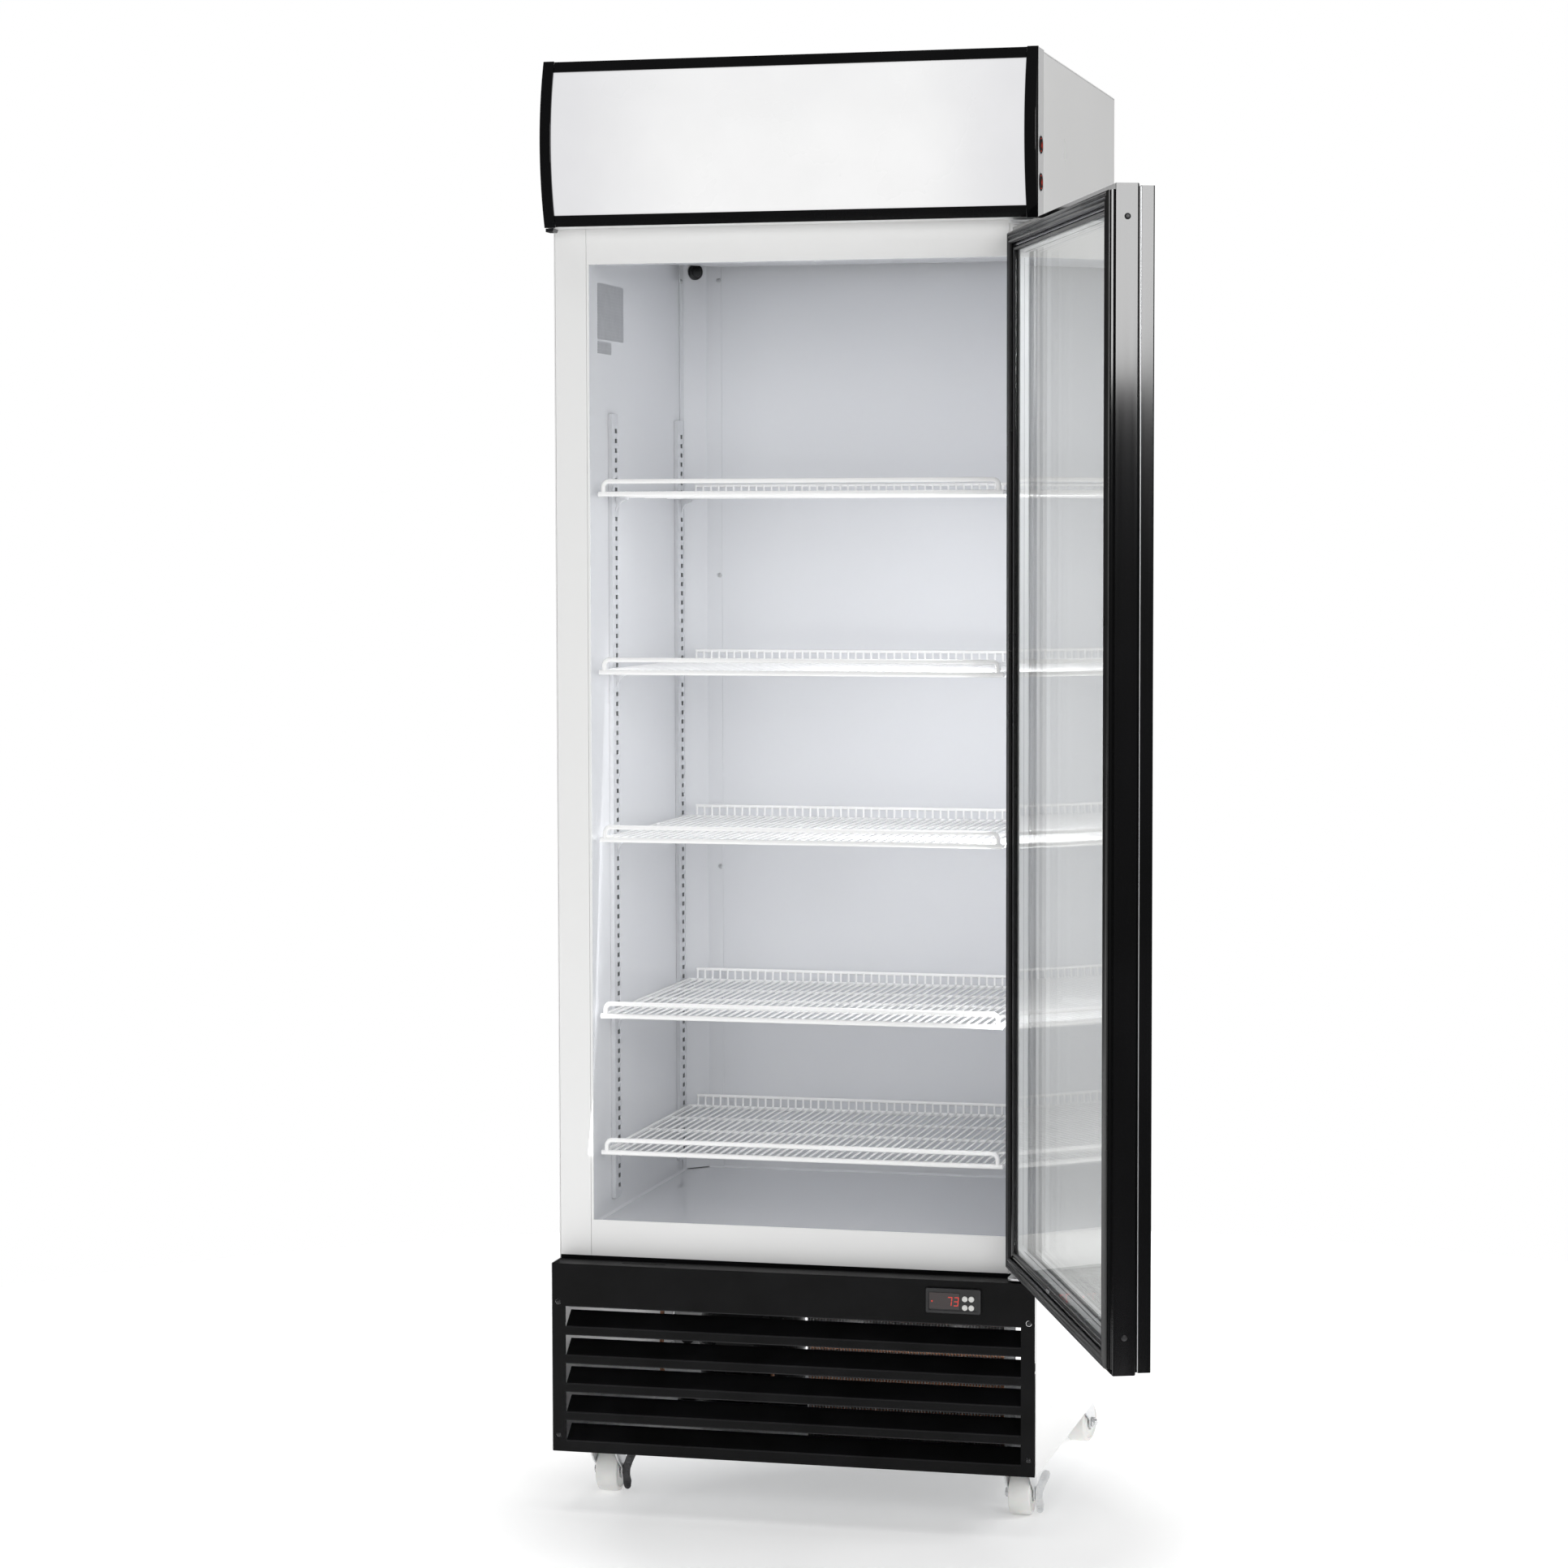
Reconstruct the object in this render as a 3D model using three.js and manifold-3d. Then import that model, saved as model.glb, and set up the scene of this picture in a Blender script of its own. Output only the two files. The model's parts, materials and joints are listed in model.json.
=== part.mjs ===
// Reach in refrigerator: one glass door, lit canopy on top, machine bay below, four swivel casters.
// Millimetres, +Z up. X runs left to right seen from the front, Y runs from the front to the back.
// The cabinet is laid out with X = 0 on its centre line, Y = 0 on the grille face and Z = 0 on the floor.
// One last group moves it so that the origin is the bottom centre of the whole object, door open.
import * as THREE from 'three';
import { mergeVertices } from 'three/addons/utils/BufferGeometryUtils.js';
import Module from 'manifold-3d';

const wasm = await Module();
wasm.setup();

// ---------------------------------------------------------------- driving dimensions
const GAP = 0.3;                  // clearance between touching pieces
const SHEET = 1.5;                // folded steel sheet

const HALF_WIDTH = 343;           // inside faces of the side panels
const PANEL_OUTER = HALF_WIDTH + GAP + SHEET;
const FLOOR_CLEARANCE = 87;       // floor to the bottom edge of the side panels
const BODY_FRONT = 43;            // front face of the face frame
const BODY_BACK = 635;
const BODY_TOP = 2016;

const LINER_HALF = 295;           // inside of the side walls
const LINER_BACK = 563;
const LINER_FLOOR = 403;
const BAY_TOP = 358;              // underside of the insulated floor
const ROOF_BOTTOM = 1950;
const OPENING_HALF = 294.5;
const OPENING_BOTTOM = 409;
const OPENING_TOP = 1744;
const FACE_THICK = 2;

const CANOPY_BOTTOM = 1793;
const CANOPY_TOP = 2018;
const CANOPY_FRONT = 2;
const CANOPY_BULGE = 20;          // how far the curved front stands proud at mid height
const CAP_WIDTH = 15.5;
const SIGN_BOTTOM = 1808.5;
const SIGN_TOP = 2003;
const SIGN_INSET = 2;             // sign face behind the caps' front
const SIGN_THICK = 3;
const TRIM_INSET = 1;

const GRILLE_TOP = 353;
const GRILLE_SHEET = 1.5;
const LOUVRE_COUNT = 5;
const LOUVRE_PITCH = 40.4;
const LOUVRE_TOP = 293.6;
const LOUVRE_HEIGHT = 30;
const LOUVRE_HALF = 323.5;

const DOOR_HALF = 335;
const DOOR_BOTTOM = 365;
const DOOR_TOP = 1781;
const DOOR_FRONT = 4.5;
const DOOR_REAR = 33;             // rear plane of the outer frame edge
const DOOR_STEP = 38;             // rear plane of the inner step that carries the gasket
const DOOR_STEP_INSET = 7;
const DOOR_SIGHT = 32;            // width of the frame seen around the glass
const GLASS_GRIP = 8;             // how far the glass reaches into the frame
const PANE = 4;
const DOOR_OPEN_DEG = 111;
const HINGE = { x: 326, y: 16 };
const PIN_RADIUS = 5;

const SHELF_HEIGHTS = [502.4, 695.6, 944, 1178.6, 1427];
const SHELF_HALF = 288;
const SHELF_FRONT = 57;
const SHELF_BACK = 520;
const WIRE = 6;
const SHELF_BAR_PITCH = 35.25;
const SHELF_LIP = 17.5;

const STANDARD_TOP = 1541;
const STANDARD_BOTTOM = 424;
const STANDARD_WIDTH = 30;
const STANDARD_PROUD = 5.5;
const STANDARD_ROWS = { front: 150, rear: 498 };

const WHEEL_RADIUS = 30;
const WHEEL_HALF = 15.5;
const AXLE_RADIUS = 5;
const AXLE_BORE = 5.4;
const FORK_CLEARANCE = 1.2;       // between the wheel and each cheek
const FORK_THICK = 2.8;
const CASTER_TRAIL = 22;
const CASTER_X = 300;
const CASTER_FRONT = 120;
const CASTER_BACK = 580;
const CASTER_TURNS = { front_left: 0, front_right: 0, rear_left: 20, rear_right: -12 };

const SWITCH_Y = 17;
const SWITCH_HEIGHTS = { upper: 1889.5, lower: 1840 };
const SWITCH_RADIUS = 9;

const CONTROLLER = { x: 230.5, z: 325.5, width: 77, height: 34.5 };
const BUTTON_RADIUS = 4;

const CONDENSER_FAN = { x: 150, y: 150, z: 215, radius: 88 };
const EVAPORATOR_FAN = { x: 0, y: 235, z: 1810, radius: 78 };
const EVAPORATOR_COVER = 1772;

// Moves the origin from the grille's centre line to the bottom centre of the whole object.
const ORIGIN_SHIFT = { x: -123, y: -19 };

// ---------------------------------------------------------------- colours
const WHITE_PAINT = { color: 0xf1f0ee, roughness: 0.35, metalness: 0 };
const LINER_PAINT = { color: 0xd9dbdf, roughness: 0.3, metalness: 0 };
const BLACK_TRIM = { color: 0x111111, roughness: 0.3, metalness: 0 };
const BLACK_PAINT = { color: 0x161616, roughness: 0.5, metalness: 0 };
const ZINC = { color: 0xc4c6c8, roughness: 0.3, metalness: 1 };
const ALUMINIUM = { color: 0xd6d8da, roughness: 0.4, metalness: 1 };
const WHITE_WIRE = { color: 0xf7f7f5, roughness: 0.35, metalness: 0 };
const NYLON = { color: 0xf0efea, roughness: 0.45, metalness: 0 };
const GLASS = { color: 0xe8f2f0, roughness: 0.05, metalness: 0 };
const SIGN_ACRYLIC = { color: 0xf4f4f4, roughness: 0.3, metalness: 0 };
const RUBBER = { color: 0x0d0d0d, roughness: 0.7, metalness: 0 };
const LAMP = { color: 0xfffbf0, roughness: 0.5, metalness: 0 };
const RED_ROCKER = { color: 0x8c1a16, roughness: 0.3, metalness: 0 };
const WHITE_BUTTON = { color: 0xeceae6, roughness: 0.4, metalness: 0 };

// ---------------------------------------------------------------- shape helpers
function box(x, y, z) {
  const shape = new THREE.BoxGeometry(x[1] - x[0], y[1] - y[0], z[1] - z[0]);
  return shape.translate((x[0] + x[1]) / 2, (y[0] + y[1]) / 2, (z[0] + z[1]) / 2);
}

// Cylinder along 'x', 'y' or 'z', from one end coordinate to the other.
function rod(axis, radius, from, to, centre, sides = 16) {
  const shape = new THREE.CylinderGeometry(radius, radius, to - from, sides);
  shape.translate(0, (from + to) / 2, 0);
  if (axis === 'x') shape.rotateZ(-Math.PI / 2);
  if (axis === 'z') shape.rotateX(Math.PI / 2);
  return shape.translate(...centre);
}

function polygon(points) {
  return new THREE.Shape(points.map(([u, v]) => new THREE.Vector2(u, v)));
}

function extrude(shape, depth, curveSegments = 12) {
  return new THREE.ExtrudeGeometry(shape, { depth, bevelEnabled: false, curveSegments });
}

// Outline given in Y and Z, extruded along X.
function alongX(shape, x) {
  const solid = extrude(shape, x[1] - x[0]);
  const turn = new THREE.Matrix4().set(0, 0, 1, x[0], 1, 0, 0, 0, 0, 1, 0, 0, 0, 0, 0, 1);
  return solid.applyMatrix4(turn);
}

// Outline given in X and Z, extruded along Y towards the back.
function alongY(shape, y) {
  const solid = extrude(shape, y[1] - y[0]);
  return solid.rotateX(Math.PI / 2).translate(0, y[1], 0);
}

// Outline given in X and Y, extruded along Z.
function alongZ(shape, z) {
  return extrude(shape, z[1] - z[0]).translate(0, 0, z[0]);
}

const WELD_DISTANCE = 1e-4;

function toSolid(geometry) {
  const bare = geometry.clone();
  bare.deleteAttribute('normal');
  bare.deleteAttribute('uv');
  const merged = mergeVertices(bare, WELD_DISTANCE);
  const vertProperties = new Float32Array(merged.attributes.position.array);
  const triVerts = new Uint32Array(merged.index.array);
  return new wasm.Manifold(new wasm.Mesh({ numProp: 3, vertProperties, triVerts }));
}

function toGeometry(solid) {
  const mesh = solid.getMesh();
  const geometry = new THREE.BufferGeometry();
  geometry.setAttribute('position', new THREE.BufferAttribute(new Float32Array(mesh.vertProperties), 3));
  geometry.setIndex(new THREE.BufferAttribute(new Uint32Array(mesh.triVerts), 1));
  return geometry;
}

function join(...pieces) {
  return toGeometry(pieces.map(toSolid).reduce((sum, next) => sum.add(next)));
}

function cut(body, ...tools) {
  return toGeometry(tools.map(toSolid).reduce((rest, tool) => rest.subtract(tool), toSolid(body)));
}

function mirrorX(geometry) {
  const flipped = mergeVertices(geometry.clone().applyMatrix4(new THREE.Matrix4().makeScale(-1, 1, 1)));
  const index = flipped.index.array;
  for (let i = 0; i < index.length; i += 3) {
    [index[i], index[i + 1]] = [index[i + 1], index[i]];
  }
  return flipped;
}

const cabinet = new THREE.Group();

function addTo(group, name, geometry, finish) {
  const mesh = new THREE.Mesh(geometry, new THREE.MeshStandardMaterial(finish));
  mesh.name = name;
  group.add(mesh);
  return mesh;
}

// ---------------------------------------------------------------- outer cabinet
function sidePanel() {
  const outline = polygon([
    [SHEET, FLOOR_CLEARANCE],
    [BODY_BACK, FLOOR_CLEARANCE],
    [BODY_BACK, BODY_TOP - SHEET - GAP],
    [BODY_FRONT, BODY_TOP - SHEET - GAP],
    [BODY_FRONT, GRILLE_TOP + GAP],
    [SHEET, GRILLE_TOP + GAP],
  ]);
  return alongX(outline, [HALF_WIDTH + GAP, PANEL_OUTER]);
}

function rearAndTopSkin() {
  const half = HALF_WIDTH - GAP;
  const rearZ = [FLOOR_CLEARANCE + 8, BODY_TOP - SHEET / 2];
  const rear = box([-half, half], [BODY_BACK - SHEET, BODY_BACK], rearZ);
  const topY = [BODY_FRONT + GAP, BODY_BACK];
  const top = box([-PANEL_OUTER, PANEL_OUTER], topY, [BODY_TOP - SHEET, BODY_TOP]);
  const bayHalf = 298;
  const baySill = FLOOR_CLEARANCE + 20;
  const past = 5;
  const through = [BODY_BACK - past, BODY_BACK + past];
  const bayOpening = box([-bayHalf, bayHalf], through, [baySill, BAY_TOP - past]);
  const gland = { x: -321, z: 122, radius: 11, bore: 5, proud: 10 };
  const centre = [gland.x, 0, gland.z];
  const collar = rod('y', gland.radius, BODY_BACK - SHEET, BODY_BACK + gland.proud, centre);
  const bore = rod('y', gland.bore, BODY_BACK - past, BODY_BACK + gland.proud + past, centre);
  return cut(join(rear, top, collar), bayOpening, bore);
}

function faceFrame() {
  const aboveGrille = 5;
  const z = [GRILLE_TOP + aboveGrille, BODY_TOP - SHEET - GAP];
  const sheet = box([-HALF_WIDTH, HALF_WIDTH], [BODY_FRONT, BODY_FRONT + FACE_THICK], z);
  const through = [BODY_FRONT - 1, BODY_FRONT + FACE_THICK + 1];
  return cut(sheet, box([-OPENING_HALF, OPENING_HALF], through, [OPENING_BOTTOM, OPENING_TOP]));
}

function buildCabinet() {
  addTo(cabinet, 'side_panel_right', sidePanel(), WHITE_PAINT);
  addTo(cabinet, 'side_panel_left', mirrorX(sidePanel()), WHITE_PAINT);
  addTo(cabinet, 'rear_and_top_skin', rearAndTopSkin(), WHITE_PAINT);
  addTo(cabinet, 'face_frame', faceFrame(), WHITE_PAINT);
}

// ---------------------------------------------------------------- insulated box
function buildInsulation() {
  const y = [BODY_FRONT + FACE_THICK + GAP, BODY_BACK - SHEET - GAP];
  const wallZ = [LINER_FLOOR + GAP, ROOF_BOTTOM - GAP];
  const rearHalf = LINER_HALF - GAP;
  const full = [-HALF_WIDTH, HALF_WIDTH];
  const headerBack = 95;
  const headerZ = [OPENING_TOP + 2, ROOF_BOTTOM + 1];
  const right = box([LINER_HALF, HALF_WIDTH], y, wallZ);
  const rear = box([-rearHalf, rearHalf], [LINER_BACK, y[1]], wallZ);
  const floor = box(full, y, [BAY_TOP, LINER_FLOOR]);
  const roof = box(full, y, [ROOF_BOTTOM, BODY_TOP - SHEET - GAP]);
  const header = box([-rearHalf, rearHalf], [y[0], headerBack], headerZ);
  addTo(cabinet, 'insulated_wall_right', right, LINER_PAINT);
  addTo(cabinet, 'insulated_wall_left', mirrorX(right), LINER_PAINT);
  addTo(cabinet, 'insulated_wall_rear', rear, LINER_PAINT);
  addTo(cabinet, 'insulated_floor', floor, LINER_PAINT);
  addTo(cabinet, 'insulated_roof', join(roof, header), LINER_PAINT);
}

// Folded sheet down each rear corner: a flange on the side wall, a diagonal face, a flange on the rear wall.
function cornerColumn() {
  const thick = 1.2;
  const wall = LINER_HALF - GAP;
  const back = LINER_BACK - GAP;
  const diagonal = 29;
  const sideFlangeFront = 514;
  const rearFlangeEnd = 242;
  const top = 1790;
  const outline = polygon([
    [wall, sideFlangeFront],
    [wall, back - diagonal],
    [wall - diagonal, back],
    [rearFlangeEnd, back],
    [rearFlangeEnd, back - thick],
    [wall - diagonal - thick / 2, back - thick],
    [wall - thick, back - diagonal - thick / 2],
    [wall - thick, sideFlangeFront],
  ]);
  const column = alongZ(outline, [LINER_FLOOR + 1, top]);
  const hole = { radius: 12.5, z: 1766, reach: 40 };
  const middle = diagonal / 2 + 1;
  const drill = rod('y', hole.radius, -hole.reach, hole.reach, [0, 0, 0], 20);
  drill.rotateZ(-Math.PI / 4);
  drill.translate(wall - middle, back - middle, hole.z);
  return cut(column, drill);
}

function buildColumns() {
  addTo(cabinet, 'corner_column_right', cornerColumn(), LINER_PAINT);
  addTo(cabinet, 'corner_column_left', mirrorX(cornerColumn()), LINER_PAINT);
}

// ---------------------------------------------------------------- canopy
// Y of the curved canopy front at height z, set back by an inset.
function canopyCurve(z, inset) {
  const half = (CANOPY_TOP - CANOPY_BOTTOM) / 2;
  const radius = (half * half + CANOPY_BULGE * CANOPY_BULGE) / (2 * CANOPY_BULGE);
  const up = z - (CANOPY_TOP + CANOPY_BOTTOM) / 2;
  return radius - CANOPY_BULGE - Math.sqrt((radius - inset) ** 2 - up * up);
}

// Points down the canopy front between two heights, set back by an inset.
function curvePoints(z0, z1, inset, steps) {
  const points = [];
  for (let i = 0; i <= steps; i += 1) {
    const z = z0 + ((z1 - z0) * i) / steps;
    points.push([canopyCurve(z, inset), z]);
  }
  return points;
}

// Side view of a piece with the curved front and a flat back against the housing.
function flatBackedBand(z0, z1, inset, steps) {
  const rear = CANOPY_FRONT - GAP;
  return polygon([...curvePoints(z0, z1, inset, steps), [rear, z1], [rear, z0]]);
}

// Side view of a curved sheet of even thickness.
function curvedSheet(z0, z1, inset, thick, steps) {
  const rear = curvePoints(z0, z1, inset + thick, steps).reverse();
  return polygon([...curvePoints(z0, z1, inset, steps), ...rear]);
}

function canopyHousing() {
  const rear = BODY_FRONT - GAP;
  const shell = box([-PANEL_OUTER, PANEL_OUTER], [CANOPY_FRONT, rear], [CANOPY_BOTTOM, CANOPY_TOP]);
  const inner = PANEL_OUTER - SHEET;
  const cavityZ = [CANOPY_BOTTOM + SHEET, CANOPY_TOP - SHEET];
  const cavity = box([-inner, inner], [CANOPY_FRONT - 1, rear - SHEET], cavityZ);
  const holeRadius = SWITCH_RADIUS + 1.5;
  const past = 5;
  const holes = Object.values(SWITCH_HEIGHTS).map(
    (z) => rod('x', holeRadius, PANEL_OUTER - past, PANEL_OUTER + past, [0, SWITCH_Y, z], 24),
  );
  return cut(shell, cavity, ...holes);
}

// Round rocker whose pivot lies along Y, just outside the canopy's side.
function rocker(z) {
  const depth = 5;
  const proud = 1.2;
  const ridge = { radius: 6.5, half: 4, sunk: 3.6 };
  const face = [PANEL_OUTER - depth, PANEL_OUTER + proud];
  const disc = rod('x', SWITCH_RADIUS, face[0], face[1], [0, SWITCH_Y, z], 24);
  const centre = [PANEL_OUTER - ridge.sunk, 0, z];
  return join(disc, rod('y', ridge.radius, SWITCH_Y - ridge.half, SWITCH_Y + ridge.half, centre));
}

function buildCanopy() {
  addTo(cabinet, 'canopy_housing', canopyHousing(), WHITE_PAINT);
  const capOver = 1;
  const cap = flatBackedBand(CANOPY_BOTTOM - capOver, CANOPY_TOP + capOver, 0, 14);
  const capX = [PANEL_OUTER - CAP_WIDTH, PANEL_OUTER];
  addTo(cabinet, 'canopy_cap_right', alongX(cap, capX), BLACK_TRIM);
  addTo(cabinet, 'canopy_cap_left', alongX(cap, [-capX[1], -capX[0]]), BLACK_TRIM);
  const half = capX[0] - GAP;
  const topTrim = flatBackedBand(SIGN_TOP + GAP, CANOPY_TOP, TRIM_INSET, 3);
  addTo(cabinet, 'canopy_trim_top', alongX(topTrim, [-half, half]), BLACK_TRIM);
  const bottomTrim = flatBackedBand(CANOPY_BOTTOM, SIGN_BOTTOM - GAP, TRIM_INSET, 3);
  addTo(cabinet, 'canopy_trim_bottom', alongX(bottomTrim, [-half, half]), BLACK_TRIM);
  const sign = curvedSheet(SIGN_BOTTOM, SIGN_TOP, SIGN_INSET, SIGN_THICK, 12);
  addTo(cabinet, 'sign_panel', alongX(sign, [-half, half]), SIGN_ACRYLIC);
  addTo(cabinet, 'canopy_lamp', canopyLamp(), LAMP);
  for (const [name, z] of Object.entries(SWITCH_HEIGHTS)) {
    addTo(cabinet, `rocker_switch_${name}`, rocker(z), RED_ROCKER);
  }
}

function canopyLamp() {
  const z = (CANOPY_TOP + CANOPY_BOTTOM) / 2;
  const back = BODY_FRONT - GAP - SHEET - GAP;
  const batten = { half: 300, depth: 8, rise: 12 };
  const tube = { half: 295, radius: 8, ahead: 12 };
  const battenZ = [z - batten.rise, z + batten.rise];
  const base = box([-batten.half, batten.half], [back - batten.depth, back], battenZ);
  return join(base, rod('x', tube.radius, -tube.half, tube.half, [0, back - tube.ahead, z], 12));
}

// ---------------------------------------------------------------- machine bay
function chassisBase() {
  const half = HALF_WIDTH - GAP;
  const bottom = FLOOR_CLEARANCE + 1;
  const plateThick = 3;
  const y = [8, BODY_BACK - SHEET - GAP];
  const lip = { thick: 2.5, height: 12 };
  const flange = { thick: 2, height: 30 };
  const pad = { half: 38, below: 4 };
  const plate = box([-half, half], y, [bottom, bottom + plateThick]);
  const front = box([-half, half], [y[0], y[0] + lip.thick], [bottom, bottom + lip.height]);
  const side = box([half - flange.thick, half], y, [bottom, bottom + flange.height]);
  const pads = [];
  for (const padX of [-CASTER_X, CASTER_X]) {
    for (const padY of [CASTER_FRONT, CASTER_BACK]) {
      const shape = box([-pad.half, pad.half], [-pad.half, pad.half], [bottom - pad.below, bottom + 1]);
      pads.push(shape.translate(padX, padY, 0));
    }
  }
  return join(plate, front, side, mirrorX(side), ...pads);
}

function louvreBlade(index) {
  const z = LOUVRE_TOP - LOUVRE_HEIGHT - index * LOUVRE_PITCH;
  const thick = 1.5;
  const rise = 20;
  const depth = 25;
  const outline = polygon([
    [GRILLE_SHEET / 2, z - thick],
    [GRILLE_SHEET + depth, z - thick + rise],
    [GRILLE_SHEET + depth, z + rise],
    [GRILLE_SHEET / 2, z],
  ]);
  return alongX(outline, [-LOUVRE_HALF, LOUVRE_HALF]);
}

function frontGrille() {
  const half = HALF_WIDTH;
  const face = box([-half, half], [0, GRILLE_SHEET], [FLOOR_CLEARANCE, GRILLE_TOP]);
  const through = [-2, 4];
  const openings = [];
  const blades = [];
  for (let i = 0; i < LOUVRE_COUNT; i += 1) {
    const top = LOUVRE_TOP - i * LOUVRE_PITCH;
    openings.push(box([-LOUVRE_HALF, LOUVRE_HALF], through, [top - LOUVRE_HEIGHT, top]));
    blades.push(louvreBlade(i));
  }
  openings.push(controllerBlock(through));
  const screw = { x: 334.5, heights: [110, 298.5], radius: 3.6 };
  for (const x of [-screw.x, screw.x]) {
    for (const z of screw.heights) {
      openings.push(rod('y', screw.radius, through[0], through[1], [x, 0, z], 12));
    }
  }
  const slot = { x: [-247, -184], y: [20, 23] };
  const flangeZ = [GRILLE_TOP - GRILLE_SHEET, GRILLE_TOP];
  const flange = box([-half, half], [0, BODY_FRONT - 1], flangeZ);
  const slotCut = box(slot.x, slot.y, [flangeZ[0] - 1, flangeZ[1] + 1]);
  return join(cut(face, ...openings), cut(flange, slotCut), ...blades);
}

// The part of the controller that passes through the grille, grown outwards by an allowance.
function controllerBlock(y, allowance = 0) {
  const { x, z, width, height } = CONTROLLER;
  const bezelEdge = 3;
  const half = width / 2 - bezelEdge + allowance;
  const rise = height / 2 - bezelEdge + allowance;
  return box([x - half, x + half], y, [z - rise, z + rise]);
}

function buttonPlaces() {
  const columns = [16.2, 25.2];
  const rows = [3.6, -8.4];
  return rows.flatMap((dz) => columns.map((dx) => ({ x: CONTROLLER.x + dx, z: CONTROLLER.z + dz })));
}

function controllerBody() {
  const { x, z, width, height } = CONTROLLER;
  const bezelFront = -4;
  const depth = 58;
  const well = [-6, -0.5];
  const front = box(
    [x - width / 2, x + width / 2], [bezelFront, -GAP], [z - height / 2, z + height / 2],
  );
  const shell = controllerBlock([-GAP - 1, depth], -GAP);
  const wells = buttonPlaces().map(
    (place) => rod('y', BUTTON_RADIUS + GAP, well[0], well[1], [place.x, 0, place.z], 12),
  );
  return cut(join(front, shell), ...wells);
}

function buildBase() {
  const buttonY = [-4.9, -1.7];
  addTo(cabinet, 'chassis_base', chassisBase(), ZINC);
  addTo(cabinet, 'front_grille', frontGrille(), BLACK_PAINT);
  addTo(cabinet, 'controller', controllerBody(), BLACK_TRIM);
  buttonPlaces().forEach((place, i) => {
    const button = rod('y', BUTTON_RADIUS, buttonY[0], buttonY[1], [place.x, 0, place.z], 12);
    addTo(cabinet, `controller_button_${i + 1}`, button, WHITE_BUTTON);
  });
}

// Hermetic can on a foot plate, with its discharge tube rising and running to the condenser.
function compressor() {
  const centre = { x: -150, y: 380 };
  const base = FLOOR_CLEARANCE + 4 + GAP;
  const can = { radius: 78, height: 165, lift: 6 };
  const foot = { halfX: 105, halfY: 60, thick: 8 };
  const tubeRadius = 4;
  const shoulders = [[16, 0], [0, 22], [0, can.height - 50], [22, can.height - 14], [45, can.height]];
  const profile = [[0, 0], ...shoulders.map(([inward, z]) => [can.radius - inward, z]), [0, can.height]];
  const body = new THREE.LatheGeometry(profile.map(([r, z]) => new THREE.Vector2(r, z)), 24);
  body.rotateX(Math.PI / 2).translate(0, 0, can.lift);
  const plate = box([-foot.halfX, foot.halfX], [-foot.halfY, foot.halfY], [0, foot.thick]);
  const route = new THREE.CatmullRomCurve3([
    new THREE.Vector3(55, -30, 90),
    new THREE.Vector3(110, -40, 120),
    new THREE.Vector3(120, -60, 190),
    new THREE.Vector3(120, -200, 210),
    new THREE.Vector3(130, -280, 210),
  ]);
  const section = new THREE.Shape().absarc(0, 0, tubeRadius, 0, 2 * Math.PI, false);
  const tube = new THREE.ExtrudeGeometry(section, {
    steps: 14, extrudePath: route, curveSegments: 4, bevelEnabled: false,
  });
  return join(body, plate, tube).translate(centre.x, centre.y, base);
}

// Fin stack in front, sheet shroud behind it with a round mouth, and a motor held by three arms.
function condenser() {
  const left = 10;
  const finCount = 20;
  const pitch = 14.5;
  const fin = 5;
  const finY = [62, 112];
  const web = 6;
  const z = [FLOOR_CLEARANCE + 4 + GAP, 330];
  const points = [[left, finY[1]], [left, finY[0]]];
  for (let i = 0; i < finCount - 1; i += 1) {
    const x = left + i * pitch;
    const valley = finY[1] - web;
    points.push([x + fin, finY[0]], [x + fin, valley], [x + pitch, valley], [x + pitch, finY[0]]);
  }
  const right = left + (finCount - 1) * pitch + fin;
  points.push([right, finY[0]], [right, finY[1]]);
  const stack = alongZ(polygon(points.reverse()), z);
  const shroudDepth = 46;
  const motorGap = 6;
  const shroudBack = finY[1] + shroudDepth;
  const shroud = condenserShroud([left, right], [finY[1] - 1, shroudBack], z);
  return join(stack, shroud, condenserMotor(shroudBack + motorGap));
}

// Sheet box open at the fins, with a round mouth in its rear face.
function condenserShroud(x, y, z) {
  const wall = 3;
  const mouthRadius = CONDENSER_FAN.radius + 6;
  const shell = box(x, y, z);
  const hollow = box(
    [x[0] + wall, x[1] - wall], [y[0] - 1, y[1] - wall], [z[0] + wall, z[1] - wall],
  );
  const mouth = rod('y', mouthRadius, y[0], y[1] + 1, [CONDENSER_FAN.x, 0, CONDENSER_FAN.z], 32);
  return cut(shell, hollow, mouth);
}

// Motor can behind the fan on three flat arms that reach back to the shroud.
function condenserMotor(front) {
  const can = { radius: 30, length: 45 };
  const arm = { half: 5, ahead: 6.5, behind: 8, reach: CONDENSER_FAN.radius + 10 };
  const { x, z } = CONDENSER_FAN;
  const motor = rod('y', can.radius, front, front + can.length, [x, 0, z], 20);
  const arms = [0, 1, 2].map((i) => {
    const strip = box([-arm.half, arm.half], [front - arm.ahead, front + arm.behind], [0, arm.reach]);
    return strip.rotateY((i * 2 * Math.PI) / 3).translate(x, 0, z);
  });
  return join(motor, ...arms);
}

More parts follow.
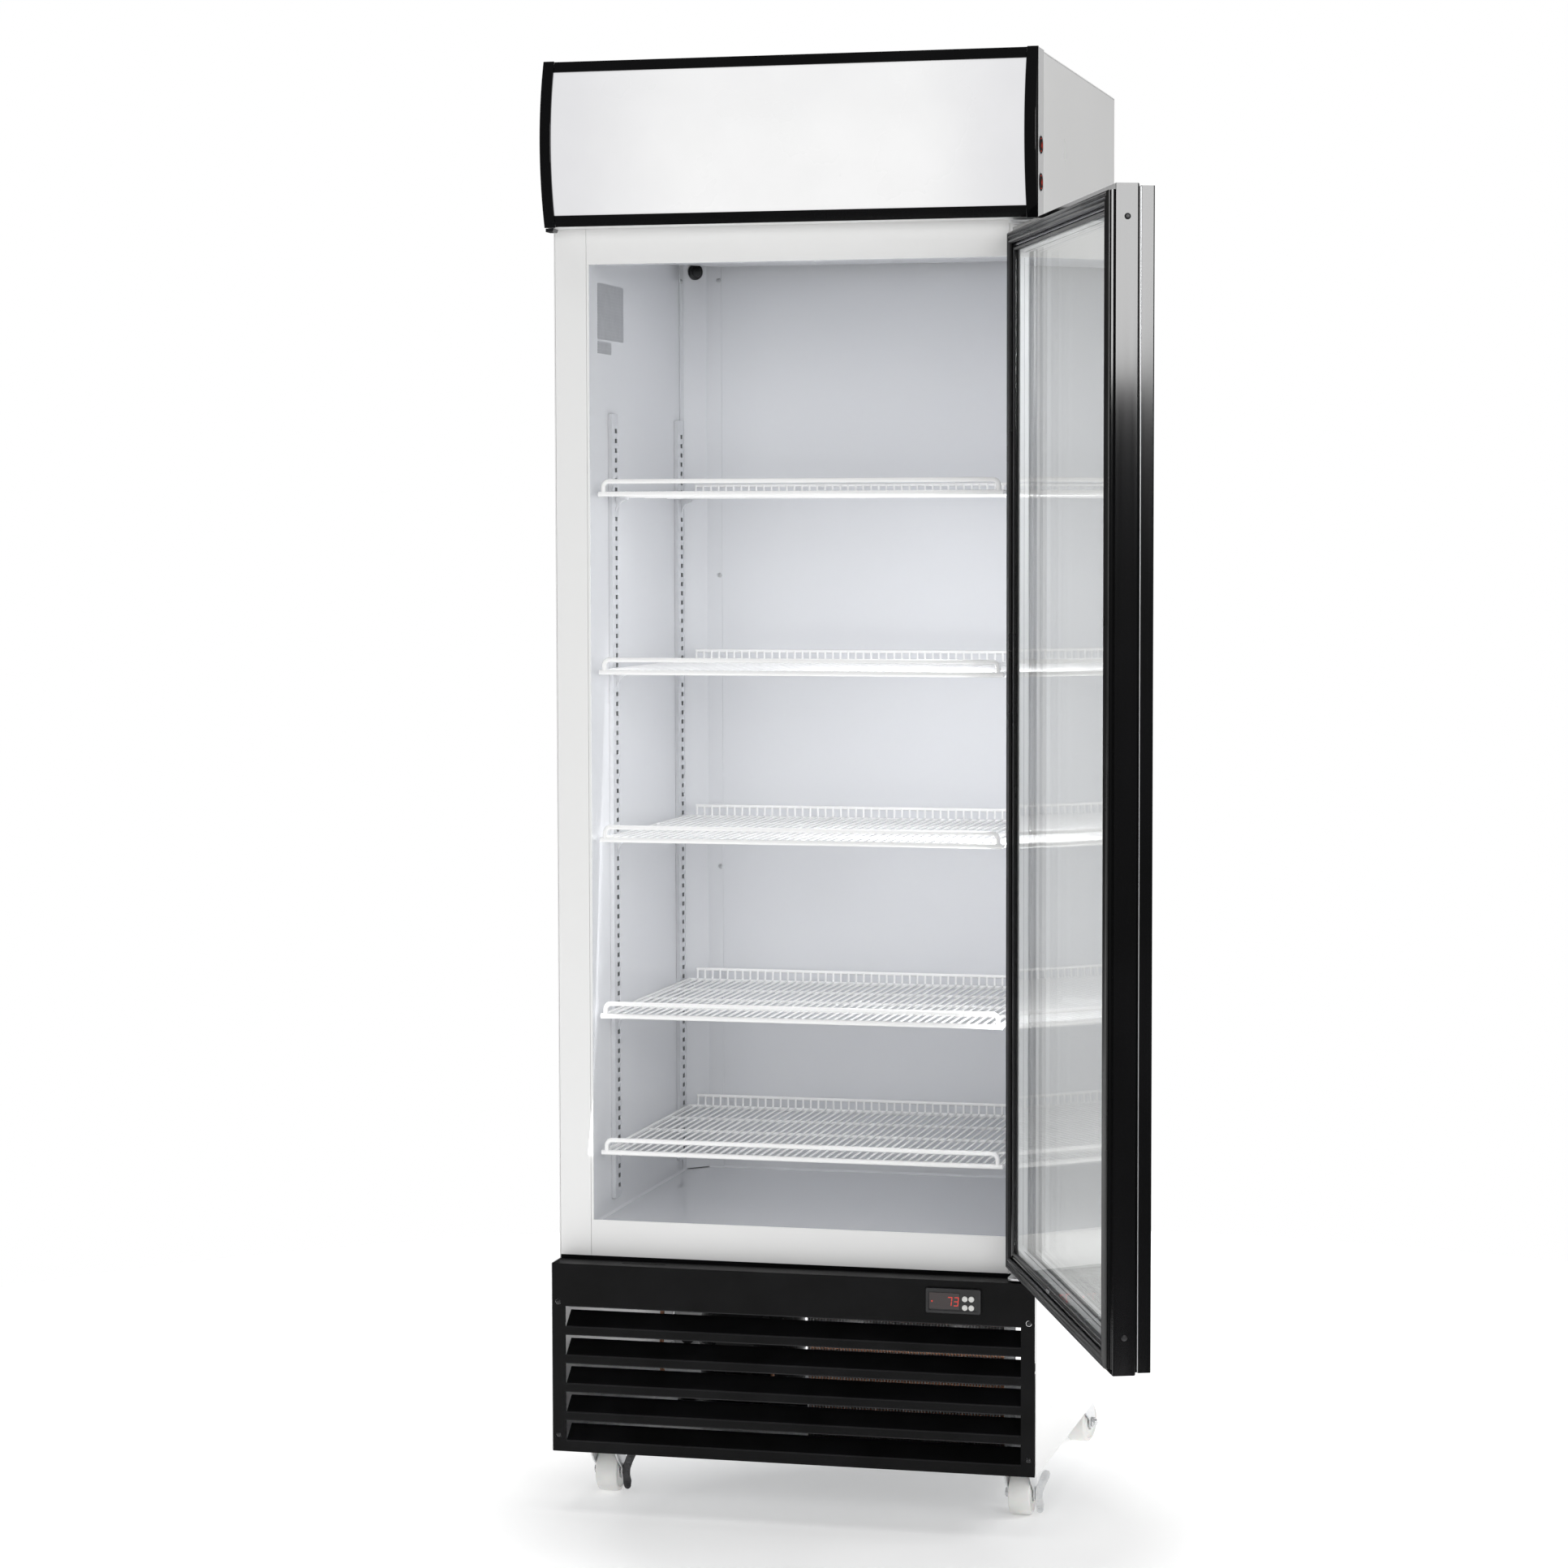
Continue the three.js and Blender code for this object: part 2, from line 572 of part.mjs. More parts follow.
// Hub and pitched blades about the Y axis, later turned for a fan about Z.
function fanWheel(radius, blades, depth) {
  const hubRadius = 20;
  const root = { half: 10, radius: 14 };
  const tip = { leading: 24, trailing: -20, bow: 26, waist: 0.6, leadEnd: 0.96, trailEnd: 0.93 };
  const thick = 2;
  const pitchAngle = 0.5;
  const parts = [rod('y', hubRadius, -depth / 2, depth / 2, [0, 0, 0], 20)];
  for (let i = 0; i < blades; i += 1) {
    const shape = new THREE.Shape();
    shape.moveTo(-root.half, root.radius);
    shape.lineTo(root.half, root.radius);
    shape.quadraticCurveTo(tip.bow, radius * tip.waist, tip.leading, radius * tip.leadEnd);
    shape.quadraticCurveTo(0, radius, tip.trailing, radius * tip.trailEnd);
    shape.lineTo(-root.half, root.radius);
    const blade = extrude(shape, thick, 3);
    blade.translate(0, 0, -thick / 2);
    blade.rotateX(Math.PI / 2).rotateZ(pitchAngle);
    blade.rotateY((i * 2 * Math.PI) / blades);
    parts.push(blade);
  }
  return join(...parts);
}

function buildMachine() {
  addTo(cabinet, 'compressor', compressor(), BLACK_PAINT);
  addTo(cabinet, 'condenser', condenser(), ALUMINIUM);
  const fan = addTo(cabinet, 'condenser_fan', fanWheel(CONDENSER_FAN.radius, 5, 22), ALUMINIUM);
  fan.position.set(CONDENSER_FAN.x, CONDENSER_FAN.y - 10, CONDENSER_FAN.z);
}

// ---------------------------------------------------------------- evaporator
// Ceiling pan with the rear corners cut off for the columns, a fan mouth, and a motor on three arms.
function evaporatorCover() {
  const half = LINER_HALF - 5;
  const corner = 62;
  const front = 100;
  const back = LINER_BACK - 25;
  const sheet = 2;
  const endHeight = 60;
  const outline = polygon([
    [-half, front], [half, front], [half, back - corner], [half - corner, back],
    [-half + corner, back], [-half, back - corner],
  ]);
  const { x, y, radius } = EVAPORATOR_FAN;
  const plate = alongZ(outline, [EVAPORATOR_COVER, EVAPORATOR_COVER + sheet]);
  const mouth = rod('z', radius + 6, EVAPORATOR_COVER - 1, EVAPORATOR_COVER + sheet + 1, [x, y, 0], 32);
  const endZ = [EVAPORATOR_COVER, EVAPORATOR_COVER + endHeight];
  const end = box([half - sheet, half], [front, back - corner], endZ);
  return join(cut(plate, mouth), end, mirrorX(end), evaporatorMotor());
}

// Motor above the fan, hung on three arms whose legs stand on the pan.
function evaporatorMotor() {
  const { x, y, z, radius } = EVAPORATOR_FAN;
  const can = { radius: 24, length: 44 };
  const above = 16;
  const arm = { half: 5, thick: 8, leg: 4, reach: radius + 12 };
  const bottom = z + above;
  const motor = rod('z', can.radius, bottom, bottom + can.length, [x, y, 0], 20);
  const arms = [0, 1, 2].map((i) => {
    const beam = box([0, arm.reach], [-arm.half, arm.half], [bottom, bottom + arm.thick]);
    const legZ = [EVAPORATOR_COVER + 1, bottom + arm.thick];
    const leg = box([arm.reach - arm.leg, arm.reach], [-arm.half, arm.half], legZ);
    return join(beam, leg).rotateZ((i * 2 * Math.PI) / 3).translate(x, y, 0);
  });
  return join(motor, ...arms);
}

function evaporatorCoil() {
  const pitch = 20;
  const count = 22;
  const left = -215;
  const fin = 6;
  const web = 8;
  const y = [340, 536];
  const z = [1800, 1900];
  const hanger = { width: 4, depth: 30, from: 60 };
  const points = [[left, z[1]], [left, z[0]]];
  for (let i = 0; i < count - 1; i += 1) {
    const x = left + i * pitch;
    points.push([x + fin, z[0]], [x + fin, z[1] - web], [x + pitch, z[1] - web], [x + pitch, z[0]]);
  }
  const last = left + (count - 1) * pitch;
  points.push([last + fin, z[0]], [last + fin, z[1]]);
  const hangerY = [y[0] + hanger.from, y[0] + hanger.from + hanger.depth];
  const hangers = [left, last].map(
    (x) => box([x, x + hanger.width], hangerY, [z[1] - hanger.width, ROOF_BOTTOM - GAP]),
  );
  return join(alongY(polygon(points), y), ...hangers);
}

function buildEvaporator() {
  addTo(cabinet, 'evaporator_cover', evaporatorCover(), LINER_PAINT);
  addTo(cabinet, 'evaporator_coil', evaporatorCoil(), ALUMINIUM);
  const fan = fanWheel(EVAPORATOR_FAN.radius, 5, 20).rotateX(Math.PI / 2);
  fan.translate(EVAPORATOR_FAN.x, EVAPORATOR_FAN.y, EVAPORATOR_FAN.z);
  addTo(cabinet, 'evaporator_fan', fan, ALUMINIUM);
}

// ---------------------------------------------------------------- door, drawn closed about the hinge line
function ring(halfOuter, halfInner, zOuter, zInner, y) {
  const slab = box([-halfOuter, halfOuter], y, zOuter);
  return cut(slab, box([-halfInner, halfInner], [y[0] - 1, y[1] + 1], zInner));
}

function insetRing(outerInset, innerInset, y) {
  return ring(
    DOOR_HALF - outerInset, DOOR_HALF - innerInset,
    [DOOR_BOTTOM + outerInset, DOOR_TOP - outerInset],
    [DOOR_BOTTOM + innerInset, DOOR_TOP - innerInset], y,
  );
}

function doorFrame() {
  const edge = insetRing(0, DOOR_SIGHT, [DOOR_FRONT, DOOR_REAR]);
  const step = insetRing(DOOR_STEP_INSET, DOOR_SIGHT, [DOOR_REAR - 1, DOOR_STEP]);
  const layers = glassLayers();
  const gripInset = DOOR_SIGHT - GLASS_GRIP - GAP;
  const groove = insetRing(gripInset, DOOR_SIGHT + 1, [layers.outer[0] - GAP, layers.inner[1] + GAP]);
  const boreDepth = 22;
  const boreRadius = PIN_RADIUS + GAP;
  const at = [HINGE.x, HINGE.y, 0];
  const bores = [
    rod('z', boreRadius, DOOR_BOTTOM - 1, DOOR_BOTTOM + boreDepth, at, 20),
    rod('z', boreRadius, DOOR_TOP - boreDepth, DOOR_TOP + 1, at, 20),
  ];
  return cut(join(edge, step), groove, ...bores);
}

function glassLayers() {
  const start = 12;
  const cavity = 14;
  return {
    outer: [start, start + PANE],
    spacer: [start + PANE + GAP, start + PANE + GAP + cavity],
    inner: [start + PANE + 2 * GAP + cavity, start + 2 * PANE + 2 * GAP + cavity],
  };
}

function pane(y) {
  const reach = DOOR_SIGHT - GLASS_GRIP;
  return box([-DOOR_HALF + reach, DOOR_HALF - reach], y, [DOOR_BOTTOM + reach, DOOR_TOP - reach]);
}

// Channel along the free edge: a base flange on the frame, an outer wall and a front lip to pull on.
function doorHandle() {
  const end = -DOOR_HALF;
  const wall = 3;
  const lip = { front: -14, width: 26 };
  const base = { front: -1.5, width: 37 };
  const notch = { width: 4, rear: 2 };
  const inset = 3;
  const outline = polygon([
    [end, lip.front],
    [end + lip.width, lip.front],
    [end + lip.width, lip.front + wall],
    [end + wall, lip.front + wall],
    [end + wall, base.front],
    [end + base.width, base.front],
    [end + base.width, DOOR_FRONT - GAP],
    [end + notch.width, DOOR_FRONT - GAP],
    [end + notch.width, notch.rear],
    [end, notch.rear],
  ]);
  return alongZ(outline, [DOOR_BOTTOM + inset, DOOR_TOP - inset]);
}

function buildDoor() {
  const hinge = new THREE.Group();
  hinge.position.set(HINGE.x, HINGE.y, 0);
  hinge.rotation.z = THREE.MathUtils.degToRad(DOOR_OPEN_DEG);
  cabinet.add(hinge);
  const closed = new THREE.Group();
  closed.position.set(-HINGE.x, -HINGE.y, 0);
  hinge.add(closed);
  const layers = glassLayers();
  const reach = DOOR_SIGHT - GLASS_GRIP;
  const spacerWidth = 12;
  const gasketWidth = 17;
  const gasketY = [DOOR_STEP + GAP, BODY_FRONT - GAP];
  addTo(closed, 'door_frame', doorFrame(), BLACK_TRIM);
  addTo(closed, 'door_glass_outer', pane(layers.outer), GLASS);
  addTo(closed, 'door_glass_inner', pane(layers.inner), GLASS);
  addTo(closed, 'glass_spacer', insetRing(reach, reach + spacerWidth, layers.spacer), ALUMINIUM);
  const gasket = insetRing(DOOR_STEP_INSET, DOOR_STEP_INSET + gasketWidth, gasketY);
  addTo(closed, 'door_gasket', gasket, RUBBER);
  addTo(closed, 'door_handle', doorHandle(), BLACK_TRIM);
}

// Cranked plate: a tab on the face frame, an arm under the canopy or over the grille, and the pin.
function hingeBracket(armZ, tabZ, pinZ, collarZ) {
  const x = [303, 340];
  const armFront = 6;
  const tabThick = 2.5;
  const rear = BODY_FRONT - GAP;
  const collarWall = 3;
  const at = [HINGE.x, HINGE.y, 0];
  const arm = box(x, [armFront, rear], armZ);
  const tab = box(x, [rear - tabThick, rear], tabZ);
  const pin = rod('z', PIN_RADIUS, pinZ[0], pinZ[1], at, 20);
  const collar = rod('z', PIN_RADIUS + collarWall, collarZ[0], collarZ[1], at, 20);
  return join(arm, tab, pin, collar);
}

function buildHinges() {
  const pinDepth = 18;
  const topArm = [1786.5, 1790];
  const topTab = [topArm[0], 1792.5];
  const topPin = [DOOR_TOP - pinDepth, topArm[0] + 1];
  const top = hingeBracket(topArm, topTab, topPin, [DOOR_TOP + GAP, topPin[1]]);
  const bottomArm = [355, 358.5];
  const bottomTab = [bottomArm[0], 368];
  const bottomPin = [bottomArm[0] + 2, DOOR_BOTTOM + pinDepth];
  const bottom = hingeBracket(bottomArm, bottomTab, bottomPin, [bottomPin[0], DOOR_BOTTOM - GAP]);
  addTo(cabinet, 'hinge_bracket_top', top, ZINC);
  addTo(cabinet, 'hinge_bracket_bottom', bottom, ZINC);
}

// ---------------------------------------------------------------- shelves and their standards
// Deck bars run front to back, with a raised loop along the front and a fence along the rear.
function shelf() {
  const plate = box([-SHELF_HALF, SHELF_HALF], [SHELF_FRONT, SHELF_BACK], [-WIRE / 2, WIRE / 2]);
  const slots = [];
  const middle = (SHELF_FRONT + SHELF_BACK) / 2;
  const rows = [[SHELF_FRONT + WIRE, middle - WIRE / 2], [middle + WIRE / 2, SHELF_BACK - WIRE]];
  const count = Math.floor((2 * SHELF_HALF - WIRE) / SHELF_BAR_PITCH);
  const start = -(count * SHELF_BAR_PITCH) / 2;
  for (let i = 0; i < count; i += 1) {
    const x = start + i * SHELF_BAR_PITCH + WIRE / 2;
    for (const row of rows) {
      slots.push(box([x, x + SHELF_BAR_PITCH - WIRE], row, [-WIRE, WIRE]));
    }
  }
  const deck = cut(plate, ...slots);
  const lipHalf = 278;
  const lipY = [SHELF_FRONT, SHELF_FRONT + WIRE];
  const lip = box([-lipHalf, lipHalf], lipY, [0, SHELF_LIP + WIRE / 2]);
  const gapZ = [WIRE / 2 + 1, SHELF_LIP - WIRE / 2];
  const lipGap = box([-lipHalf + WIRE, lipHalf - WIRE], [lipY[0] - 1, lipY[1] + 1], gapZ);
  const fence = { half: 270, thick: 4 };
  const rear = box([-fence.half, fence.half], [SHELF_BACK - fence.thick, SHELF_BACK], [0, SHELF_LIP]);
  return join(deck, cut(lip, lipGap), rear);
}

// Slotted channel screwed to a side wall, with one hook under each shelf.
function standard(y) {
  const wall = LINER_HALF - GAP;
  const proud = wall - STANDARD_PROUD;
  const half = STANDARD_WIDTH / 2;
  const hook = { reach: 17, drop: 26, tip: 4, from: 4, to: 12 };
  const channel = box([proud, wall], [y - half, y + half], [STANDARD_BOTTOM, STANDARD_TOP]);
  const hooks = SHELF_HEIGHTS.map((z) => {
    const top = z - WIRE / 2 - GAP;
    const inner = proud - hook.reach;
    const side = polygon([
      [proud + 1, top - hook.drop], [proud + 1, top], [inner, top], [inner, top - hook.tip],
    ]);
    return alongY(side, [y + hook.from, y + hook.to]);
  });
  return join(channel, ...hooks);
}

function buildShelves() {
  SHELF_HEIGHTS.forEach((z, i) => {
    addTo(cabinet, `shelf_${i + 1}`, shelf(), WHITE_WIRE).position.z = z;
  });
  for (const [name, y] of Object.entries(STANDARD_ROWS)) {
    addTo(cabinet, `shelf_standard_right_${name}`, standard(y), ALUMINIUM);
    addTo(cabinet, `shelf_standard_left_${name}`, mirrorX(standard(y)), ALUMINIUM);
  }
}

// ---------------------------------------------------------------- casters, drawn about the swivel line
function casterFork() {
  const headTop = FLOOR_CLEARANCE - 3 - GAP;
  const headRadius = 24;
  const bridge = WHEEL_RADIUS * 2 + 12;
  const plateY = [-20, 24];
  const toe = 9;
  const axleEnd = 7;
  const inner = WHEEL_HALF + FORK_CLEARANCE;
  const outer = inner + FORK_THICK;
  const head = rod('z', headRadius, bridge + 2, headTop, [0, 0, 0], 20);
  const plate = box([-outer, outer], plateY, [bridge, bridge + 3]);
  const cheekShape = polygon([
    [plateY[0], bridge + 2], [plateY[1], bridge + 2], [CASTER_TRAIL + toe, WHEEL_RADIUS],
    [CASTER_TRAIL, WHEEL_RADIUS - toe], [CASTER_TRAIL - toe, WHEEL_RADIUS],
  ]);
  const cheek = alongX(cheekShape, [inner, outer]);
  const axleCentre = [0, CASTER_TRAIL, WHEEL_RADIUS];
  const axle = rod('x', AXLE_RADIUS, -outer - axleEnd, outer + axleEnd, axleCentre);
  return join(head, plate, cheek, mirrorX(cheek), axle);
}

function casterWheel() {
  const half = WHEEL_HALF;
  const crown = 3;
  const profile = [
    [AXLE_BORE, -half], [WHEEL_RADIUS - crown, -half], [WHEEL_RADIUS, -half + crown],
    [WHEEL_RADIUS, half - crown], [WHEEL_RADIUS - crown, half], [AXLE_BORE, half], [AXLE_BORE, -half],
  ];
  const wheel = new THREE.LatheGeometry(profile.map(([r, h]) => new THREE.Vector2(r, h)), 32);
  return wheel.rotateZ(-Math.PI / 2);
}

// Disc that turns on the end of the axle, with a leaf up to press and a leaf down to release.
function brakePedal() {
  const x = WHEEL_HALF + FORK_CLEARANCE + FORK_THICK + GAP;
  const discRadius = 10;
  const discThick = 3;
  const leafY = [-9.5, -6.5];
  const leaf = polygon([
    [x, 4], [x, -6], [x + 1, -21], [x + 5, -25], [x + 10, -25], [x + 14, -21], [x + 12, -6],
    [x + 13, 4], [x + 21, 26], [x + 20, 32], [x + 14, 36], [x + 8, 33], [x + 3, 12],
  ].reverse());
  const disc = rod('x', discRadius, x, x + discThick, [0, 0, 0], 20);
  const bore = rod('x', AXLE_BORE, x - 1, x + discThick + 1, [0, 0, 0]);
  return join(cut(disc, bore), alongY(leaf, leafY));
}

function buildCaster(name, x, y) {
  const swivel = new THREE.Group();
  swivel.position.set(x, y, 0);
  swivel.rotation.z = THREE.MathUtils.degToRad(CASTER_TURNS[name]);
  cabinet.add(swivel);
  addTo(swivel, `caster_fork_${name}`, casterFork(), ZINC);
  const onAxle = [0, CASTER_TRAIL, WHEEL_RADIUS];
  addTo(swivel, `caster_wheel_${name}`, casterWheel(), NYLON).position.set(...onAxle);
  if (name.startsWith('front')) {
    addTo(swivel, `caster_brake_${name}`, brakePedal(), ZINC).position.set(...onAxle);
  }
}

function buildCasters() {
  buildCaster('front_left', -CASTER_X, CASTER_FRONT);
  buildCaster('front_right', CASTER_X, CASTER_FRONT);
  buildCaster('rear_left', -CASTER_X, CASTER_BACK);
  buildCaster('rear_right', CASTER_X, CASTER_BACK);
}

buildCabinet();
buildInsulation();
buildColumns();
buildCanopy();
buildBase();
buildMachine();
buildEvaporator();
buildDoor();
buildHinges();
buildShelves();
buildCasters();
cabinet.position.set(ORIGIN_SHIFT.x, ORIGIN_SHIFT.y, 0);

const refrigerator = new THREE.Group();
refrigerator.add(cabinet);
export default refrigerator;
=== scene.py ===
"""Looks of the reach in refrigerator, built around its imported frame. Lengths below are millimetres in the
cabinet's own frame: X from its centre line, Y from the grille face to the back, Z from the floor."""
import bmesh
import bpy
import json
import math
from mathutils import Matrix, Vector

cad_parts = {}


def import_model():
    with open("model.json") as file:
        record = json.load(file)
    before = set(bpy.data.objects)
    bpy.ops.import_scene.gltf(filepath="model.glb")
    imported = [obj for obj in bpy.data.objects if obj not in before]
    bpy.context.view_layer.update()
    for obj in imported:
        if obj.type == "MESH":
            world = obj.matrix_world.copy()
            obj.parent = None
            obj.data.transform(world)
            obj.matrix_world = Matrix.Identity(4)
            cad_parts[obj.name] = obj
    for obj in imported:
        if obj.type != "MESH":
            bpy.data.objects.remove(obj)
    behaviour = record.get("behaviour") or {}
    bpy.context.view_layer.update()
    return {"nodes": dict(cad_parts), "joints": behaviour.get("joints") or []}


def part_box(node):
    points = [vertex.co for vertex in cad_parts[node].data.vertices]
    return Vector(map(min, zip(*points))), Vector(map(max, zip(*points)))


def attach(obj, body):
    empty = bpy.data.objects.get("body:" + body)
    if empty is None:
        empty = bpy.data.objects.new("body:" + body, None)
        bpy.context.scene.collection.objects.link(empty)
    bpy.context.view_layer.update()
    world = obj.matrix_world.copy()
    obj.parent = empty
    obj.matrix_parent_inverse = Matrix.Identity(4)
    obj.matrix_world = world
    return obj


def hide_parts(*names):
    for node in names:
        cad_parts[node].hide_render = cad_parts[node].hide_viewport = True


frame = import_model()
JOINTS = {j["name"]: j for j in frame["joints"]}
NODES = frame["nodes"]
MM = 0.001
grille_lo, grille_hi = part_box("front_grille")
ORIGIN = Vector(((grille_lo.x + grille_hi.x) / 2, grille_lo.y, 0.0))
TO_ROW = Matrix.Translation(ORIGIN) @ Matrix.Scale(MM, 4)
FULL_TURN = 2 * math.pi
SMALL = 1e-6


def mm_box(node, turn=None):
    """Lowest and highest corner of a CAD node in cabinet millimetres, after undoing a turn."""
    undo = (turn.inverted() if turn else Matrix.Identity(4)) @ TO_ROW.inverted()
    points = [undo @ v.co for v in NODES[node].data.vertices]
    low = [min(p[i] for p in points) for i in range(3)]
    high = [max(p[i] for p in points) for i in range(3)]
    return low, high


def joint_at(name):
    """A joint's point in cabinet millimetres."""
    return TO_ROW.inverted() @ Vector(JOINTS[name]["pos_m"])


# ---------------- meshes
class Shape:
    """Closed shells gathered in one mesh. Faces may be wound either way, because mesh() turns them outwards."""

    def __init__(self):
        self.verts = []
        self.faces = []

    def add(self, verts, faces):
        base = len(self.verts)
        self.verts += [Vector(v) for v in verts]
        self.faces += [[i + base for i in f] for f in faces]
        return self

    def loops(self, rings, closed=False):
        """Equal rings of points joined by quads, with the ends capped or the last ring joined to the first."""
        n, m = len(rings), len(rings[0])
        faces = []
        for i in range(n if closed else n - 1):
            a, b = i * m, ((i + 1) % n) * m
            faces += [(a + k, a + (k + 1) % m, b + (k + 1) % m, b + k) for k in range(m)]
        if not closed:
            faces += [list(range(m)), list(range((n - 1) * m, n * m))]
        return self.add([v for ring in rings for v in ring], faces)

    def box(self, x, y, z):
        return self.prism([(y[0], z[0]), (y[1], z[0]), (y[1], z[1]), (y[0], z[1])], "x", *x)

    def prism(self, outline, axis, a, b):
        """Outline of (u, v) pairs pushed along an axis: x uses (y, z), y uses (x, z), z uses (x, y)."""
        place = {"x": lambda u, v, w: (w, u, v), "y": lambda u, v, w: (u, w, v), "z": lambda u, v, w: (u, v, w)}
        return self.loops([[place[axis](u, v, w) for u, v in outline] for w in (a, b)])

    def tube(self, points, radius, sides=8, closed=False):
        pts = [Vector(p) for p in points]
        n = len(pts)
        rings = []
        normal = None
        for i, p in enumerate(pts):
            before = pts[i - 1] if i or closed else p
            after = pts[(i + 1) % n] if i < n - 1 or closed else p
            way = (after - p).normalized() + (p - before).normalized()
            way = way.normalized() if way.length > SMALL else (after - before).normalized()
            if normal is None:
                normal = way.orthogonal().normalized()
            normal = (normal - way * normal.dot(way)).normalized()
            side = way.cross(normal)
            stretch = 1.0
            if before is not p and after is not p:
                half = (after - p).angle(p - before, 0.0) / 2
                stretch = 1 / max(0.5, math.cos(half))
            bend = (after - p).normalized() - (p - before).normalized()
            bend = bend.normalized() if bend.length > SMALL else Vector()
            ring = []
            for k in range(sides):
                t = FULL_TURN * k / sides
                out = normal * math.cos(t) + side * math.sin(t)
                out = out + bend * out.dot(bend) * (stretch - 1)
                ring.append(p + out * radius)
            rings.append(ring)
        return self.loops(rings, closed)

    def lathe(self, profile, centre, axis, segments=32):
        """Closed profile of (radius, distance along the axis) pairs, turned about the axis."""
        axis = Vector(axis).normalized()
        u = axis.orthogonal().normalized()
        v = axis.cross(u)
        verts = []
        index = []
        for r, h in profile:
            middle = Vector(centre) + axis * h
            if r < SMALL:
                index.append([len(verts)] * segments)
                verts.append(middle)
                continue
            index.append(list(range(len(verts), len(verts) + segments)))
            turns = [FULL_TURN * k / segments for k in range(segments)]
            verts += [middle + (u * math.cos(t) + v * math.sin(t)) * r for t in turns]
        faces = []
        for near, far in zip(index, index[1:] + index[:1]):
            if near[0] == near[1] and far[0] == far[1]:
                continue
            for k in range(segments):
                m = (k + 1) % segments
                faces.append(list(dict.fromkeys([near[k], near[m], far[m], far[k]])))
        return self.add(verts, faces)

    def ring(self, profile, x, z):
        """Closed profile of (inset, y) pairs swept round a rectangle in X and Z with mitred corners."""
        return self.loops([[(x[0] + d, y, z[0] + d), (x[1] - d, y, z[0] + d), (x[1] - d, y, z[1] - d),
                            (x[0] + d, y, z[1] - d)] for d, y in profile], closed=True)

    def plate(self, us, vs, solid, place, thick):
        """Flat plate made of the cells of a grid that solid(i, j) keeps. place(u, v, w) gives the point."""
        n, m = len(us), len(vs)
        verts = [place(u, v, w) for w in (0, thick) for v in vs for u in us]
        keep = [(i, j) for i in range(n - 1) for j in range(m - 1) if solid(i, j)]
        kept = set(keep)
        faces = []
        for i, j in keep:
            cell = [j * n + i, j * n + i + 1, (j + 1) * n + i + 1, (j + 1) * n + i]
            top = [c + n * m for c in cell]
            faces += [cell[::-1], top]
            for k, beside in enumerate(((i, j - 1), (i + 1, j), (i, j + 1), (i - 1, j))):
                if beside not in kept:
                    q = (k + 1) % 4
                    faces.append([cell[k], cell[q], top[q], top[k]])
        used = sorted({i for f in faces for i in f})
        new = {old: k for k, old in enumerate(used)}
        return self.add([verts[i] for i in used], [[new[i] for i in f] for f in faces])

    def mesh(self, name, matrix=TO_ROW):
        mesh = bpy.data.meshes.new(name)
        mesh.from_pydata([matrix @ v for v in self.verts], [], self.faces)
        mesh.validate()
        work = bmesh.new()
        work.from_mesh(mesh)
        bmesh.ops.recalc_face_normals(work, faces=work.faces)
        work.to_mesh(mesh)
        work.free()
        return mesh

    def make(self, name, finish, slot, replaces=(), body="cabinet", bevel=0.0, turn=None, sharp=35, segments=2):
        """Turns the shape into an object in the row frame that rides on a body."""
        mesh = self.mesh(name, TO_ROW @ turn if turn else TO_ROW)
        mesh.polygons.foreach_set("use_smooth", [True] * len(mesh.polygons))
        mesh.set_sharp_from_angle(angle=math.radians(sharp))
        mesh.update()
        obj = bpy.data.objects.new(name, mesh)
        bpy.context.scene.collection.objects.link(obj)
        mesh.materials.append(finish)
        if bevel:
            soften(obj, bevel, segments)
        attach(obj, body)
        if replaces:
            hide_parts(*replaces)
        return obj


def soften(obj, width, segments=2, angle=40):
    """Rounds the edges that are sharper than an angle."""
    mod = obj.modifiers.new("edge", "BEVEL")
    mod.width = width * MM
    mod.segments = segments
    mod.limit_method = "ANGLE"
    mod.angle_limit = math.radians(angle)
    mod.harden_normals = True


def punch(obj, tool):
    """Bakes an object's modifiers and cuts a shape out of it."""
    cutter = bpy.data.objects.new("tool", tool.mesh("tool"))
    bpy.context.scene.collection.objects.link(cutter)
    cut = obj.modifiers.new("holes", "BOOLEAN")
    cut.operation = "DIFFERENCE"
    cut.object = cutter
    bpy.context.view_layer.update()
    graph = bpy.context.evaluated_depsgraph_get()
    mesh = bpy.data.meshes.new_from_object(obj.evaluated_get(graph))
    obj.modifiers.clear()
    obj.data = mesh
    bpy.data.objects.remove(cutter)


def arc(cx, cy, r, a0, a1, n):
    """Points of an arc, angles in degrees."""
    turns = [math.radians(a0 + (a1 - a0) * i / n) for i in range(n + 1)]
    return [(cx + r * math.cos(t), cy + r * math.sin(t)) for t in turns]


def rounded(x, y, r, n=4):
    """Rounded rectangle outline."""
    return (arc(x[1] - r, y[0] + r, r, -90, 0, n) + arc(x[1] - r, y[1] - r, r, 0, 90, n)
            + arc(x[0] + r, y[1] - r, r, 90, 180, n) + arc(x[0] + r, y[0] + r, r, 180, 270, n))


def spline(points, per=6):
    """Catmull-Rom points through the given ones."""
    pts = [Vector(p) for p in points]
    pts = [pts[0] * 2 - pts[1]] + pts + [pts[-1] * 2 - pts[-2]]
    out = []
    for a, b, c, d in zip(pts, pts[1:], pts[2:], pts[3:]):
        for k in range(per):
            t = k / per
            out.append(0.5 * ((2 * b) + (c - a) * t + (2 * a - 5 * b + 4 * c - d) * t * t
                              + (3 * b - a - 3 * c + d) * t ** 3))
    return out + [pts[-2]]


